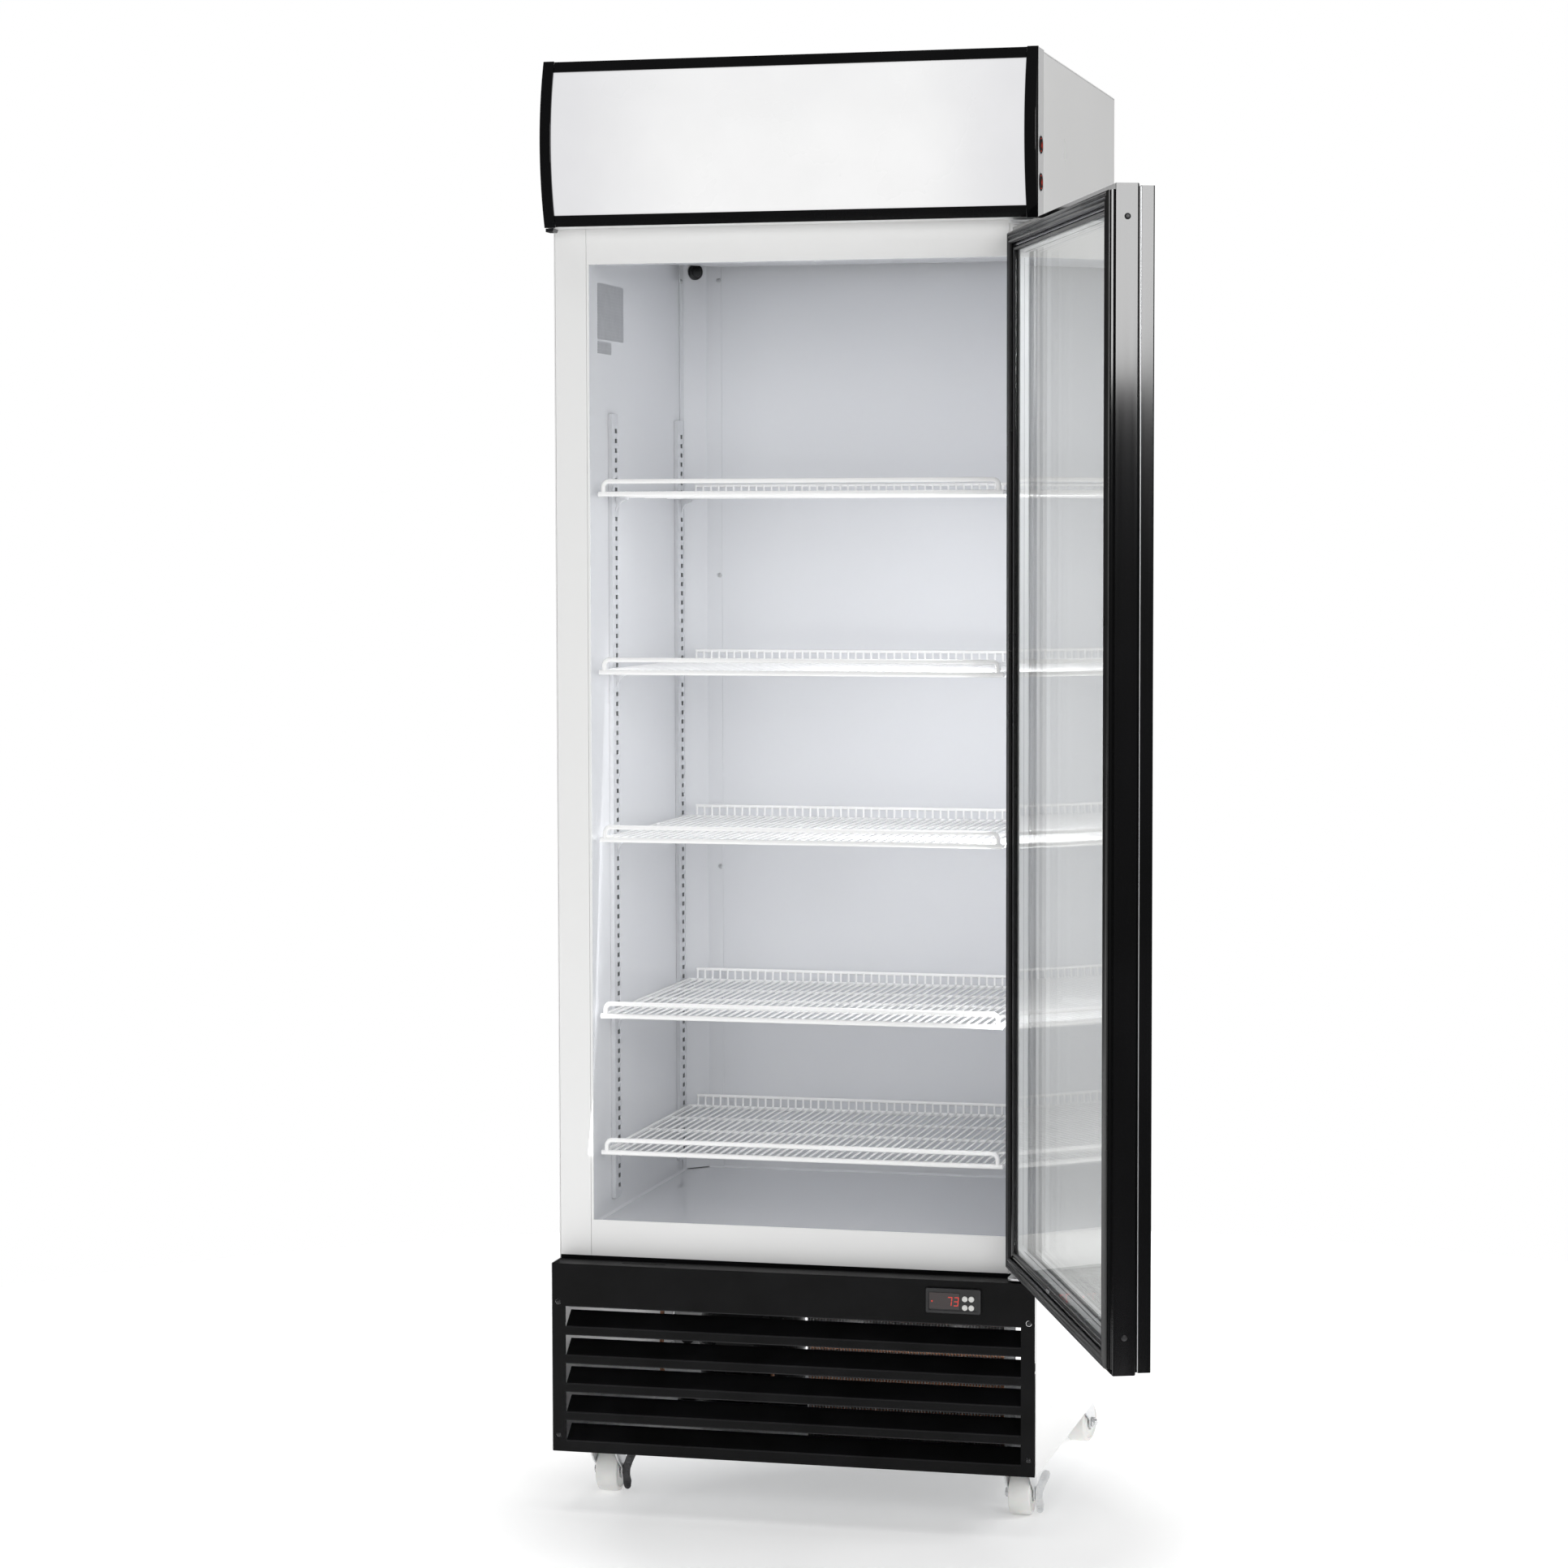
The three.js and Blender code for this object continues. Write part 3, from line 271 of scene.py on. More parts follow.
def shrink(outline, by):
    """Outline of a rectangle-like loop moved inwards."""
    cx = sum(p[0] for p in outline) / len(outline)
    cz = sum(p[1] for p in outline) / len(outline)
    return [(u - math.copysign(min(by, abs(u - cx)), u - cx), v - math.copysign(min(by, abs(v - cz)), v - cz))
            for u, v in outline]


def screw(shape, centre, axis, radius=4.0, height=1.8):
    """Pan head with a raised cross in its recess."""
    centre, axis = Vector(centre), Vector(axis).normalized()
    sunk = -1.0
    profile = [(0, sunk), (radius, sunk), (radius, 0.4), (radius * 0.86, height * 0.75),
               (radius * 0.55, height),
               (radius * 0.22, height), (radius * 0.16, height * 0.35), (0, height * 0.3)]
    shape.lathe(profile, centre, axis, 20)
    u = axis.orthogonal().normalized()
    v = axis.cross(u)
    wide, long = radius * 0.1, radius * 0.5
    for d, e in ((u, v), (v, u)):
        square = [d * (a * long) + e * (b * wide) for a, b in ((-1, -1), (1, -1), (1, 1), (-1, 1))]
        shape.loops([[centre + axis * h + p for p in square] for h in (height * 0.6, height * 1.04)])


# ---------------- materials
class Nodes:
    """Short way to wire a material's nodes."""

    def __init__(self, name):
        self.mat = bpy.data.materials.new(name)
        self.mat.use_nodes = True
        self.tree = self.mat.node_tree
        self.shader = self.tree.nodes["Principled BSDF"]
        self.out = self.tree.nodes["Material Output"]
        self.coord = self.tree.nodes.new("ShaderNodeTexCoord")

    def node(self, kind, *sources, **settings):
        """New node with its first inputs linked or set."""
        n = self.tree.nodes.new(kind)
        for key, value in settings.items():
            setattr(n, key, value)
        for socket, source in zip(n.inputs, sources):
            if isinstance(source, bpy.types.NodeSocket):
                self.link(source, socket)
            else:
                socket.default_value = source
        return n

    def link(self, a, b):
        self.tree.links.new(a, b)

    def noise(self, scale, detail=3.0, stretch=(1, 1, 1)):
        mapping = self.node("ShaderNodeMapping")
        mapping.inputs["Scale"].default_value = stretch
        self.link(self.coord.outputs["Object"], mapping.inputs["Vector"])
        n = self.node("ShaderNodeTexNoise")
        n.inputs["Scale"].default_value = scale
        n.inputs["Detail"].default_value = detail
        self.link(mapping.outputs["Vector"], n.inputs["Vector"])
        return n.outputs["Fac"]

    def ramp(self, fac, stops):
        n = self.node("ShaderNodeValToRGB", fac)
        ramp = n.color_ramp
        ramp.elements[0].position, ramp.elements[0].color = stops[0][0], (*stops[0][1], 1)
        ramp.elements[1].position, ramp.elements[1].color = stops[-1][0], (*stops[-1][1], 1)
        for place, colour in stops[1:-1]:
            ramp.elements.new(place).color = (*colour, 1)
        return n.outputs["Color"]

    def span(self, fac, low, high, at=(0.3, 0.7), curve="LINEAR"):
        n = self.node("ShaderNodeMapRange", interpolation_type=curve)
        n.inputs["From Min"].default_value, n.inputs["From Max"].default_value = at
        n.inputs["To Min"].default_value, n.inputs["To Max"].default_value = low, high
        self.link(fac, n.inputs["Value"])
        return n.outputs["Result"]

    def colour(self, fac, low, high, at=0.3, socket="Base Color"):
        self.link(self.ramp(fac, [(at, low), (1 - at, high)]), self.shader.inputs[socket])

    def gloss(self, fac, low, high, at=(0.3, 0.7)):
        self.link(self.span(fac, low, high, at), self.shader.inputs["Roughness"])

    def bump(self, height, strength, distance=0.0003):
        n = self.node("ShaderNodeBump")
        n.inputs["Strength"].default_value = strength
        n.inputs["Distance"].default_value = distance
        self.link(height, n.inputs["Height"])
        self.link(n.outputs["Normal"], self.shader.inputs["Normal"])

    def set(self, **values):
        for key, value in values.items():
            self.shader.inputs[key.replace("_", " ")].default_value = value
        return self


def grey(level):
    return (level, level, level)


def enamel(name, low, high, rough=(0.22, 0.34), peel=0.05, coat=0.15):
    """Sprayed enamel: faint mottling, orange peel, wipe marks in the gloss."""
    m = Nodes(name)
    m.colour(m.noise(3.5, 4), low, high, 0.1)
    m.gloss(m.noise(5, 2), *rough, (0.1, 0.9))
    m.bump(m.noise(700, 2), peel, 0.0002)
    return m.set(Coat_Weight=coat, Coat_Roughness=0.12).mat


def powder_black(name, low, high, rough, grain=0.25, scale=1500, gloss=0.3):
    """Black powder coat or rubber: fine grain and dusty variation."""
    m = Nodes(name)
    m.colour(m.noise(14, 5), low, high)
    m.gloss(m.noise(22, 4), *rough)
    m.bump(m.noise(scale, 2), grain)
    return m.set(Specular_IOR_Level=gloss).mat


def drawn_black(name, stretch):
    """Glossy black profile with hairlines along its length."""
    m = Nodes(name)
    m.colour(m.noise(6, 4), (0.0015, 0.0015, 0.0017), (0.0035, 0.0035, 0.004))
    m.gloss(m.noise(40, 4, stretch), 0.06, 0.13)
    m.bump(m.noise(260, 3, stretch), 0.04)
    return m.set(Specular_IOR_Level=1.0).mat


def metal(name, low, high, rough, stretch=(1, 1, 1)):
    m = Nodes(name)
    m.colour(m.noise(30, 5, stretch), low, high)
    m.gloss(m.noise(70, 4, stretch), *rough)
    m.bump(m.noise(180, 3, stretch), 0.08, 0.0004)
    return m.set(Metallic=0.6).mat


def spangled_zinc(name):
    m = Nodes(name)
    cells = m.node("ShaderNodeTexVoronoi", m.coord.outputs["Object"])
    cells.inputs["Scale"].default_value = 320
    tints = [(0.1, (0.70, 0.71, 0.725)), (0.5, (0.74, 0.75, 0.76)), (0.9, (0.78, 0.78, 0.775))]
    m.link(m.ramp(cells.outputs["Color"], tints), m.shader.inputs["Base Color"])
    m.gloss(m.noise(90, 3), 0.3, 0.4)
    m.bump(m.noise(400, 2), 0.05)
    return m.set(Metallic=0.6).mat


def plastic(name, low, high, rough=(0.3, 0.42), grain=0.06, scale=700, subsurface=0.0):
    m = Nodes(name)
    m.colour(m.noise(25, 3), low, high, 0.35)
    m.gloss(m.noise(35, 4), *rough)
    m.bump(m.noise(scale, 2), grain)
    if subsurface:
        m.set(Subsurface_Weight=subsurface, Subsurface_Scale=0.004)
    return m.mat


def lit_sign(name):
    """Backlit opal acrylic: brightest in the middle, falling off to the ends and the top, with a soft sheen."""
    m = Nodes(name)
    lo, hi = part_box("sign_panel")
    wide, tall = hi.x - lo.x, hi.z - lo.z
    split = m.node("ShaderNodeSeparateXYZ", m.coord.outputs["Object"])
    near = m.span(split.outputs["X"], 0, 1, (lo.x, lo.x + 0.32 * wide), "SMOOTHSTEP")
    far = m.span(split.outputs["X"], 0, 1, (hi.x, hi.x - 0.25 * wide), "SMOOTHSTEP")
    up = m.span(split.outputs["Z"], 0, 1, (hi.z, lo.z + 0.35 * tall), "SMOOTHSTEP")
    across = m.node("ShaderNodeMath", near, far, operation="MULTIPLY")
    level = m.node("ShaderNodeMath", across.outputs[0], m.span(up, 0.75, 1.0, (0, 1)), operation="MULTIPLY")
    m.colour(level.outputs[0], (0.56, 0.56, 0.575), grey(0.70), 0.0, "Emission Color")
    m.colour(m.noise(12, 3), grey(0.2), grey(0.23))
    m.gloss(m.noise(7, 4), 0.25, 0.34)
    return m.set(Emission_Strength=1.0).mat


def pane_glass(name):
    """Clear float glass: lets light straight through, mirrors by Fresnel on its outer side, faint wipe marks."""
    m = Nodes(name)
    clear = m.node("ShaderNodeBsdfTransparent", (0.982, 0.986, 0.984, 1))
    gloss = m.node("ShaderNodeBsdfGlossy", (1, 1, 1, 1), m.span(m.noise(4, 2), 0.0, 0.012, (0.45, 0.75)))
    fresnel = m.node("ShaderNodeFresnel", 1.5)
    side = m.node("ShaderNodeNewGeometry")
    outward = m.node("ShaderNodeMath", 1.0, side.outputs["Backfacing"], operation="SUBTRACT")
    share = m.node("ShaderNodeMath", fresnel.outputs[0], outward.outputs[0], operation="MULTIPLY")
    mix = m.node("ShaderNodeMixShader", share.outputs[0], clear.outputs[0], gloss.outputs[0])
    m.link(mix.outputs[0], m.out.inputs["Surface"])
    m.tree.nodes.remove(m.shader)
    return m.mat


def glowing(name, colour, strength, base=(0.05, 0.01, 0.01)):
    m = Nodes(name)
    m.colour(m.noise(200, 2), base, tuple(c * 1.5 for c in base))
    m.gloss(m.noise(90, 2), 0.25, 0.35)
    return m.set(Emission_Color=(*colour, 1), Emission_Strength=strength).mat


def printed_label(name, rows):
    """Silver sticker with rows of grey blocks that stand for print and say nothing."""
    m = Nodes(name)
    turn = m.node("ShaderNodeMapping", m.coord.outputs["Object"])
    turn.inputs["Rotation"].default_value = (math.radians(90), 0, math.radians(90))
    dark, pale, silver = (0.035, 0.035, 0.04, 1), (0.14, 0.14, 0.15, 1), (0.40, 0.41, 0.43, 1)
    bars = m.node("ShaderNodeTexBrick", turn.outputs["Vector"], dark, pale, silver, rows, 0.045)
    m.link(bars.outputs["Color"], m.shader.inputs["Base Color"])
    m.gloss(m.noise(60, 3), 0.3, 0.45)
    return m.mat


LINER_TINT = ((0.70, 0.712, 0.738), (0.72, 0.732, 0.758))
ENAMEL = enamel("white_enamel", (0.79, 0.79, 0.785), (0.805, 0.805, 0.80), (0.26, 0.32), 0.03)
LINER = enamel("liner_enamel", *LINER_TINT, (0.20, 0.26), 0.02, 0.2)
LINER_GLOSS = enamel("liner_floor_gloss", *LINER_TINT, (0.05, 0.09), 0.0, 0.6)
COATED_WIRE = enamel("coated_wire", grey(0.87), grey(0.91), (0.2, 0.3), 0.1, 0.3)
CANOPY_SIDE = enamel("canopy_side_enamel", grey(0.80), grey(0.84), (0.16, 0.2), 0.02, 0.5)
PROFILE_BLACK = drawn_black("black_profile_upright", (1, 1, 0.02))
TRIM_BLACK = drawn_black("black_profile_level", (0.02, 1, 1))
SATIN_BLACK = powder_black("black_powder", grey(0.002), (0.0045, 0.0045, 0.005), (0.38, 0.5), gloss=0.14)
# A lighter copy of the grille's black for the louvre edges: painted highlight.
LIP_BLACK_PAINTED_HIGHLIGHT = powder_black("black_lip_painted_highlight", (0.012, 0.012, 0.013), (0.02, 0.02, 0.021), (0.3, 0.42), 0.1)
BEZEL_BLACK = plastic("bezel_black", (0.010, 0.010, 0.011), (0.016, 0.016, 0.017), (0.28, 0.36), 0.12)
RUBBER = powder_black("gasket_rubber", grey(0.010), grey(0.018), (0.26, 0.36), 0.1, 900, 0.6)
CAN_BLACK = powder_black("compressor_paint", (0.010, 0.010, 0.011), (0.018, 0.018, 0.019), (0.22, 0.34), 0.1,
                         400)
# Black that stands in for the shade inside slots and holes: painted shade.
HOLE_SHADE_BLACK = powder_black("painted_slot_shade", grey(0.01), grey(0.02), (0.7, 0.8), 0.1)
ZINC = spangled_zinc("zinc_plate")
FIN_ALUMINIUM = metal("fin_aluminium", (0.72, 0.73, 0.74), (0.84, 0.84, 0.85), (0.3, 0.45))
COPPER = metal("tube_copper", (0.72, 0.34, 0.2), (0.84, 0.45, 0.28), (0.2, 0.36))
STEEL_BRIGHT = metal("screw_steel", (0.6, 0.61, 0.62), (0.72, 0.72, 0.73), (0.18, 0.3))
CHANNEL = metal("channel_steel", (0.72, 0.73, 0.75), (0.80, 0.81, 0.83), (0.32, 0.45), (1, 1, 0.05))
GAP_STRIP = metal("gap_aluminium", (0.55, 0.56, 0.57), (0.66, 0.67, 0.68), (0.3, 0.4), (1, 1, 0.03))
SPACER = metal("spacer_aluminium", (0.84, 0.85, 0.86), (0.92, 0.93, 0.94), (0.3, 0.42), (1, 1, 0.05))
# Darkened copy of the zinc: painted shade for the brake that stands in the cabinet's shadow.
BRAKE_ZINC_PAINTED_SHADE = metal("brake_zinc_painted_shade", (0.035, 0.035, 0.037), (0.09, 0.09, 0.093), (0.25, 0.4))
NYLON = plastic("white_nylon", (0.74, 0.74, 0.72), (0.80, 0.80, 0.78), (0.32, 0.45), 0.1, 500, 0.15)
BUTTON = plastic("button_white", (0.62, 0.62, 0.60), (0.70, 0.70, 0.68))
ROCKER_BLACK = plastic("rocker_black", (0.010, 0.006, 0.006), (0.016, 0.009, 0.009), (0.12, 0.2), 0.02)
WINDOW = plastic("display_window", (0.012, 0.004, 0.004), (0.02, 0.006, 0.006), (0.05, 0.1), 0.0)
SIGN = lit_sign("lit_acrylic")
GLASS = pane_glass("float_glass")
RED_GLOW = glowing("red_digits", (0.9, 0.05, 0.03), 0.75)
RED_LENS = glowing("red_lens", (0.9, 0.08, 0.04), 0.6, (0.30, 0.02, 0.015))
LAMP = glowing("lamp_opal", (1.0, 0.97, 0.92), 1.5, (0.8, 0.8, 0.78))
LABEL = printed_label("rating_label", 115)

# ---------------- measures read from the frame
HINGE_AT = tuple(joint_at("door_hinge"))[:2]
DOOR_OPEN = -math.radians(JOINTS["door_hinge"]["range_deg"][0])
DOOR_TURN = (Matrix.Translation((*HINGE_AT, 0)) @ Matrix.Rotation(DOOR_OPEN, 4, "Z")
             @ Matrix.Translation((-HINGE_AT[0], -HINGE_AT[1], 0)))
ON_DOOR = {"body": "door", "turn": DOOR_TURN}
CANOPY_BULGE = mm_box("canopy_housing")[0][1] - 2 - mm_box("canopy_cap_right")[0][1]
DOORWAY_TOP = mm_box("insulated_roof")[0][2] - 2.0
SHELF_Z = [mm_box(f"shelf_{n}")[0][2] + 3.0 for n in range(1, 6)]
SWITCH_Z = [sum(b[2] for b in mm_box(f"rocker_switch_{n}")) / 2 for n in ("upper", "lower")]
SWITCH_Y = sum(b[1] for b in mm_box("rocker_switch_upper")) / 2
CASTER_AT = {n: tuple(joint_at(f"swivel_turn_{n}"))[:2]
             for n in ("front_left", "front_right", "rear_left", "rear_right")}


# ---------------- cabinet shell
def cabinet_shell():
    for side in ("right", "left"):
        node = f"side_panel_{side}"
        lo, hi = mm_box(node)
        foot = mm_box("front_grille")[1][2] + 0.3
        front = mm_box("face_frame")[0][1]
        outline = [(lo[1], lo[2]), (hi[1], lo[2]), (hi[1], hi[2]), (front, hi[2]), (front, foot), (lo[1], foot)]
        panel = Shape().prism(outline, "x", lo[0], hi[0])
        panel.make(f"{node}_skin", ENAMEL, "white_paint", [node], bevel=0.5)
    lo, hi = mm_box("face_frame")
    skin = (lo[1], hi[1])
    edge = 0.5 - mm_box("insulated_wall_right")[0][0]
    sill_top = mm_box("insulated_floor")[1][2] + 6
    seam = 298.0
    gap = 0.35
    sheets = [
        ("stile_left", (lo[0], -seam - gap), (lo[2], hi[2]), ["face_frame"], 0.5),
        ("stile_right", (seam + gap, hi[0]), (lo[2], hi[2]), [], 0.5),
        ("header_panel", (-seam, seam), (DOORWAY_TOP, hi[2]), [], 0.5),
        ("sill_panel", (-seam, seam), (lo[2], sill_top), [], 0.5),
        ("jamb_left", (-seam, edge), (sill_top, DOORWAY_TOP), [], 0.4),
        ("jamb_right", (-edge, seam), (sill_top, DOORWAY_TOP), [], 0.4),
    ]
    for name, x, z, replaced, bevel in sheets:
        Shape().box(x, skin, z).make(name, ENAMEL, "white_paint", replaced, bevel=bevel)


def liner_details():
    """Caulk beads along the floor and two stickers on the left wall."""
    wall = mm_box("insulated_wall_left")[1][0]
    back = mm_box("insulated_wall_rear")[0][1]
    floor = mm_box("insulated_floor")[1][2]
    size = 3
    corner = 30
    bead = Shape()
    for x, way in ((-wall, -1), (wall, 1)):
        bead.prism([(x, floor), (x, floor + size), (x + way * size, floor)], "y", 50, back - corner)
    bead.prism([(back, floor), (back, floor + size), (back - size, floor)], "x", wall + corner, -wall - corner)
    bead.make("liner_caulk", LINER, "liner")
    thick = 0.25
    for name, y, z, radius in (("rating_plate", (86.8, 214.5), (1644, 1722), 2),
                               ("small_sticker", (86.8, 153), (1624, 1641), 1.5)):
        Shape().prism(rounded(y, z, radius), "x", wall, wall + thick).make(name, LABEL, "liner_sheet")


def corner_columns():
    """Folded sheet across each rear corner, screwed, with a plugged round hole near the top."""
    diag, t = 29.0, 1.2
    for side, sign in (("right", 1), ("left", -1)):
        node = f"corner_column_{side}"
        lo, hi = mm_box(node)
        wall, inner = (hi[0], lo[0]) if sign > 0 else (-lo[0], -hi[0])
        front, back = lo[1], hi[1]
        pts = [(wall, front), (wall, back - diag), (wall - diag, back), (inner, back), (inner, back - t),
               (wall - diag - t / 2, back - t), (wall - t, back - diag - t / 2), (wall - t, front)]
        col = Shape().prism([(sign * u, v) for u, v in pts], "z", lo[2], hi[2])
        obj = col.make(f"{node}_sheet", LINER, "liner_sheet", [node], bevel=0.35)
        centre = Vector((sign * (wall - diag / 2 - 1), back - diag / 2 - 1, 1766))
        axis = Vector((sign, 1, 0)).normalized()
        punch(obj, Shape().lathe([(0, -25), (12.5, -25), (12.5, 25), (0, 25)], centre, axis, 32))
        plug = Shape()
        plug.lathe([(0, -2), (11.9, -2), (11.9, 0.2), (10.5, 1.4), (8.2, 1.6), (7.6, 3.2), (5.0, 4.4),
                    (0, 4.6)],
                   centre - axis * 3.2, -axis, 32)
        plug.make(f"column_plug_{side}", BEZEL_BLACK, "liner_sheet")
        heads = Shape()
        for z in (1753, 1309, 866, 460):
            screw(heads, (sign * (inner + 4), back - t, z), (0, -1, 0), 3.6, 2.0)
            screw(heads, (sign * (wall - t), front + 8, z - 3), (-sign, 0, 0), 3.6, 2.0)
        heads.make(f"column_screws_{side}", GAP_STRIP, "zinc")


def standards():
    """Slotted channels with a clip bracket under each shelf."""
    t, depth = 1.2, 5.5
    slot_w, slot_h, pitch = 10.5, 6.2, 13.8
    reach, drop, lip = 17.0, 24.0, 3.2
    for side, sign in (("right", 1), ("left", -1)):
        for row in ("front", "rear"):
            node = f"shelf_standard_{side}_{row}"
            lo, hi = mm_box(node)
            wall = hi[0] if sign > 0 else -lo[0]
            y0, y1 = lo[1], hi[1]
            face = wall - depth
            count = int((hi[2] - lo[2] - 16) // pitch)
            start = lo[2] + ((hi[2] - lo[2]) - count * pitch) / 2
            cuts = [start + i * pitch + h for i in range(count) for h in (0, slot_h)]
            mid = (y0 + y1) / 2 + 5.5
            channel = Shape()
            channel.plate([y0 + t, mid - slot_w / 2, mid + slot_w / 2, y1 - t], [lo[2], *cuts, hi[2]],
                          lambda i, j: not (i == 1 and j % 2 == 1), lambda u, v, w: (sign * (face + w), u, v),
                          t)
            for y in ((y0, y0 + t), (y1 - t, y1)):
                channel.box(sorted((sign * face, sign * wall)), y, (lo[2], hi[2]))
            channel.make(f"{node}_channel", CHANNEL, "aluminium", [node])
            # Dark sheet behind the slots: painted shade seen through them.
            behind = sorted((sign * (wall - 0.4), sign * wall))
            back = Shape().box(behind, (y0 + 1.5, y1 - 1.5), (lo[2] + 1, hi[2] - 1))
            back.make(f"{node}_shadow", HOLE_SHADE_BLACK, "aluminium")
            clips = Shape()
            for z in SHELF_Z:
                top = z - 3.6
                turns = [math.radians(90 * k / 7) for k in range(8)]
                curve = [(face - reach * (1 - math.sin(a)), top - lip - (drop - lip) * (1 - math.cos(a)))
                         for a in turns]
                profile = [(face + 1.0, top), (face - reach, top)] + curve + [(face + 1.0, top - drop)]
                clips.prism([(sign * u, v) for u, v in profile], "y", mid - 4.2, mid + 4.2)
            clips.make(f"{node}_clips", CHANNEL, "aluminium", bevel=0.5)


def shelves():
    """Welded and coated wire: frame, deck wires, cross wires, raised front loop, rear fence."""
    r_main, r_deck = 3.1, 1.55
    count, pitch = 49, 11.75
    upright = 23
    fence_half, loop_half = 272, 280.0
    lip, bend, fence_bend = 17.5, 8.0, 4.2
    for n, z in enumerate(SHELF_Z, 1):
        node = f"shelf_{n}"
        lo, hi = mm_box(node)
        half, front, rear = hi[0], lo[1] + r_main, hi[1] - r_main
        wire = Shape()
        wire.tube([(-half + 1, front, z), (half - 1, front, z)], 3.6, 10)
        wire.tube([(-half + 1, rear, z), (half - 1, rear, z)], r_main, 10)
        for x in (r_main - half, half - r_main):
            wire.tube([(x, front, z), (x, rear, z)], r_main, 10)
        for share in (0.28, 0.5, 0.76):
            y = front + (rear - front) * share
            wire.tube([(-half + 3, y, z - 1.6), (half - 3, y, z - 1.6)], 2.3, 8)
        fence = z + 17.0
        for i in range(count):
            step = i - (count - 1) / 2
            x = step * pitch
            path = [(x, front - 0.4, z + 2.2)]
            if abs(step) <= upright:
                path += [(x, rear - 6 + fence_bend * math.sin(t), z + 2.4 + fence_bend * (1 - math.cos(t)))
                         for t in (0, 0.4, 0.8, 1.2, 1.5708)]
                path.append((x, rear - 1.8, fence))
            else:
                path.append((x, rear - 1.5, z + 2.4))
            wire.tube(path, r_deck, 6)
        wire.tube([(-fence_half, rear, fence), (fence_half, rear, fence)], 2.6, 8)
        top = z + lip - bend
        corners = arc(bend - loop_half, top, bend, 180, 90, 5) + arc(loop_half - bend, top, bend, 90, 0, 5)
        outline = [(-loop_half, z + 1)] + corners + [(loop_half, z + 1)]
        wire.tube([(u, front, v) for u, v in outline], 3.3, 10)
        wire.make(f"{node}_wires", COATED_WIRE, "white_wire", [node], sharp=50)


# ---------------- canopy
def canopy_curve(z, inset=0.0):
    """Y of the curved canopy front, from the right cap's own box."""
    low, high = mm_box("canopy_housing")
    half = (high[2] - low[2]) / 2
    radius = (half ** 2 + CANOPY_BULGE ** 2) / (2 * CANOPY_BULGE)
    up = z - (high[2] + low[2]) / 2
    return radius - CANOPY_BULGE - math.sqrt((radius - inset) ** 2 - up ** 2)


def curved_bar(node, steps, inset=0.0):
    """Shape of a CAD node's box with its front on the canopy's curve."""
    lo, hi = mm_box(node)
    zs = [lo[2] + (hi[2] - lo[2]) * i / steps for i in range(steps + 1)]
    outline = [(canopy_curve(z, inset), z) for z in zs] + [(hi[1], hi[2]), (hi[1], lo[2])]
    return Shape().prism(outline, "x", lo[0], hi[0])


def canopy():
    lo, hi = mm_box("canopy_housing")
    t = 1.5
    sides = Shape()
    for x in ((lo[0], lo[0] + t), (hi[0] - t, hi[0])):
        sides.box(x, (lo[1], hi[1]), (lo[2], hi[2]))
    side_obj = sides.make("canopy_sides", CANOPY_SIDE, "white_paint", ["canopy_housing"], bevel=0.4)
    holes = Shape()
    for z in SWITCH_Z:
        holes.lathe([(0, -8), (10.6, -8), (10.6, 8), (0, 8)], (hi[0], SWITCH_Y, z), (1, 0, 0), 40)
    punch(side_obj, holes)
    shell = Shape()
    inner = (lo[0] + t, hi[0] - t)
    shell.box(inner, (lo[1], hi[1]), (hi[2] - t, hi[2]))
    shell.box(inner, (lo[1], hi[1]), (lo[2], lo[2] + t))
    shell.box(inner, (hi[1] - t, hi[1]), (lo[2] + t, hi[2] - t))
    shell.make("canopy_shell", ENAMEL, "white_paint", bevel=0.4)
    for node in ("canopy_cap_right", "canopy_cap_left"):
        curved_bar(node, 28).make(f"{node}_moulding", PROFILE_BLACK, "black_trim", [node], bevel=1.2,
                                  segments=3)
    for node in ("canopy_trim_top", "canopy_trim_bottom"):
        curved_bar(node, 8, 1.0).make(f"{node}_profile", TRIM_BLACK, "black_trim", [node], bevel=0.9)
    low = lo[2] - 6.5
    tab = Shape().prism([(-343, low), (-333, low), (-331, lo[2] - 1.6), (-343, lo[2] - 1.6)], "y", 0, 22)
    tab.make("canopy_tab_left", BEZEL_BLACK, "black_trim", bevel=0.6)
    lo_s, hi_s = mm_box("sign_panel")
    zs = [lo_s[2] + (hi_s[2] - lo_s[2]) * i / 40 for i in range(41)]
    outline = [(canopy_curve(z, 2.0), z) for z in zs] + [(canopy_curve(z, 5.0), z) for z in zs[::-1]]
    sign = Shape().prism(outline, "x", lo_s[0], hi_s[0])
    sign.make("sign_face", SIGN, "sign_acrylic", ["sign_panel"], bevel=0.3)
    lo_l, hi_l = mm_box("canopy_lamp")
    back = hi_l[1]
    batten = Shape().prism([(back, lo_l[2]), (back, hi_l[2]), (back - 5, hi_l[2]), (back - 8, hi_l[2] - 4),
                            (back - 8, lo_l[2] + 4), (back - 5, lo_l[2])], "x", lo_l[0], hi_l[0])
    batten.make("lamp_batten", ENAMEL, "lamp", bevel=0.4)
    near, far = lo_l[0] + 5, hi_l[0] - 5
    tube = Shape().lathe([(0, near), (5, near), (7.6, near + 4), (7.6, far - 4), (5, far), (0, far)],
                         (0, lo_l[1] + 8, (lo_l[2] + hi_l[2]) / 2), (1, 0, 0), 20)
    tube.make("lamp_tube", LAMP, "lamp", ["canopy_lamp"])


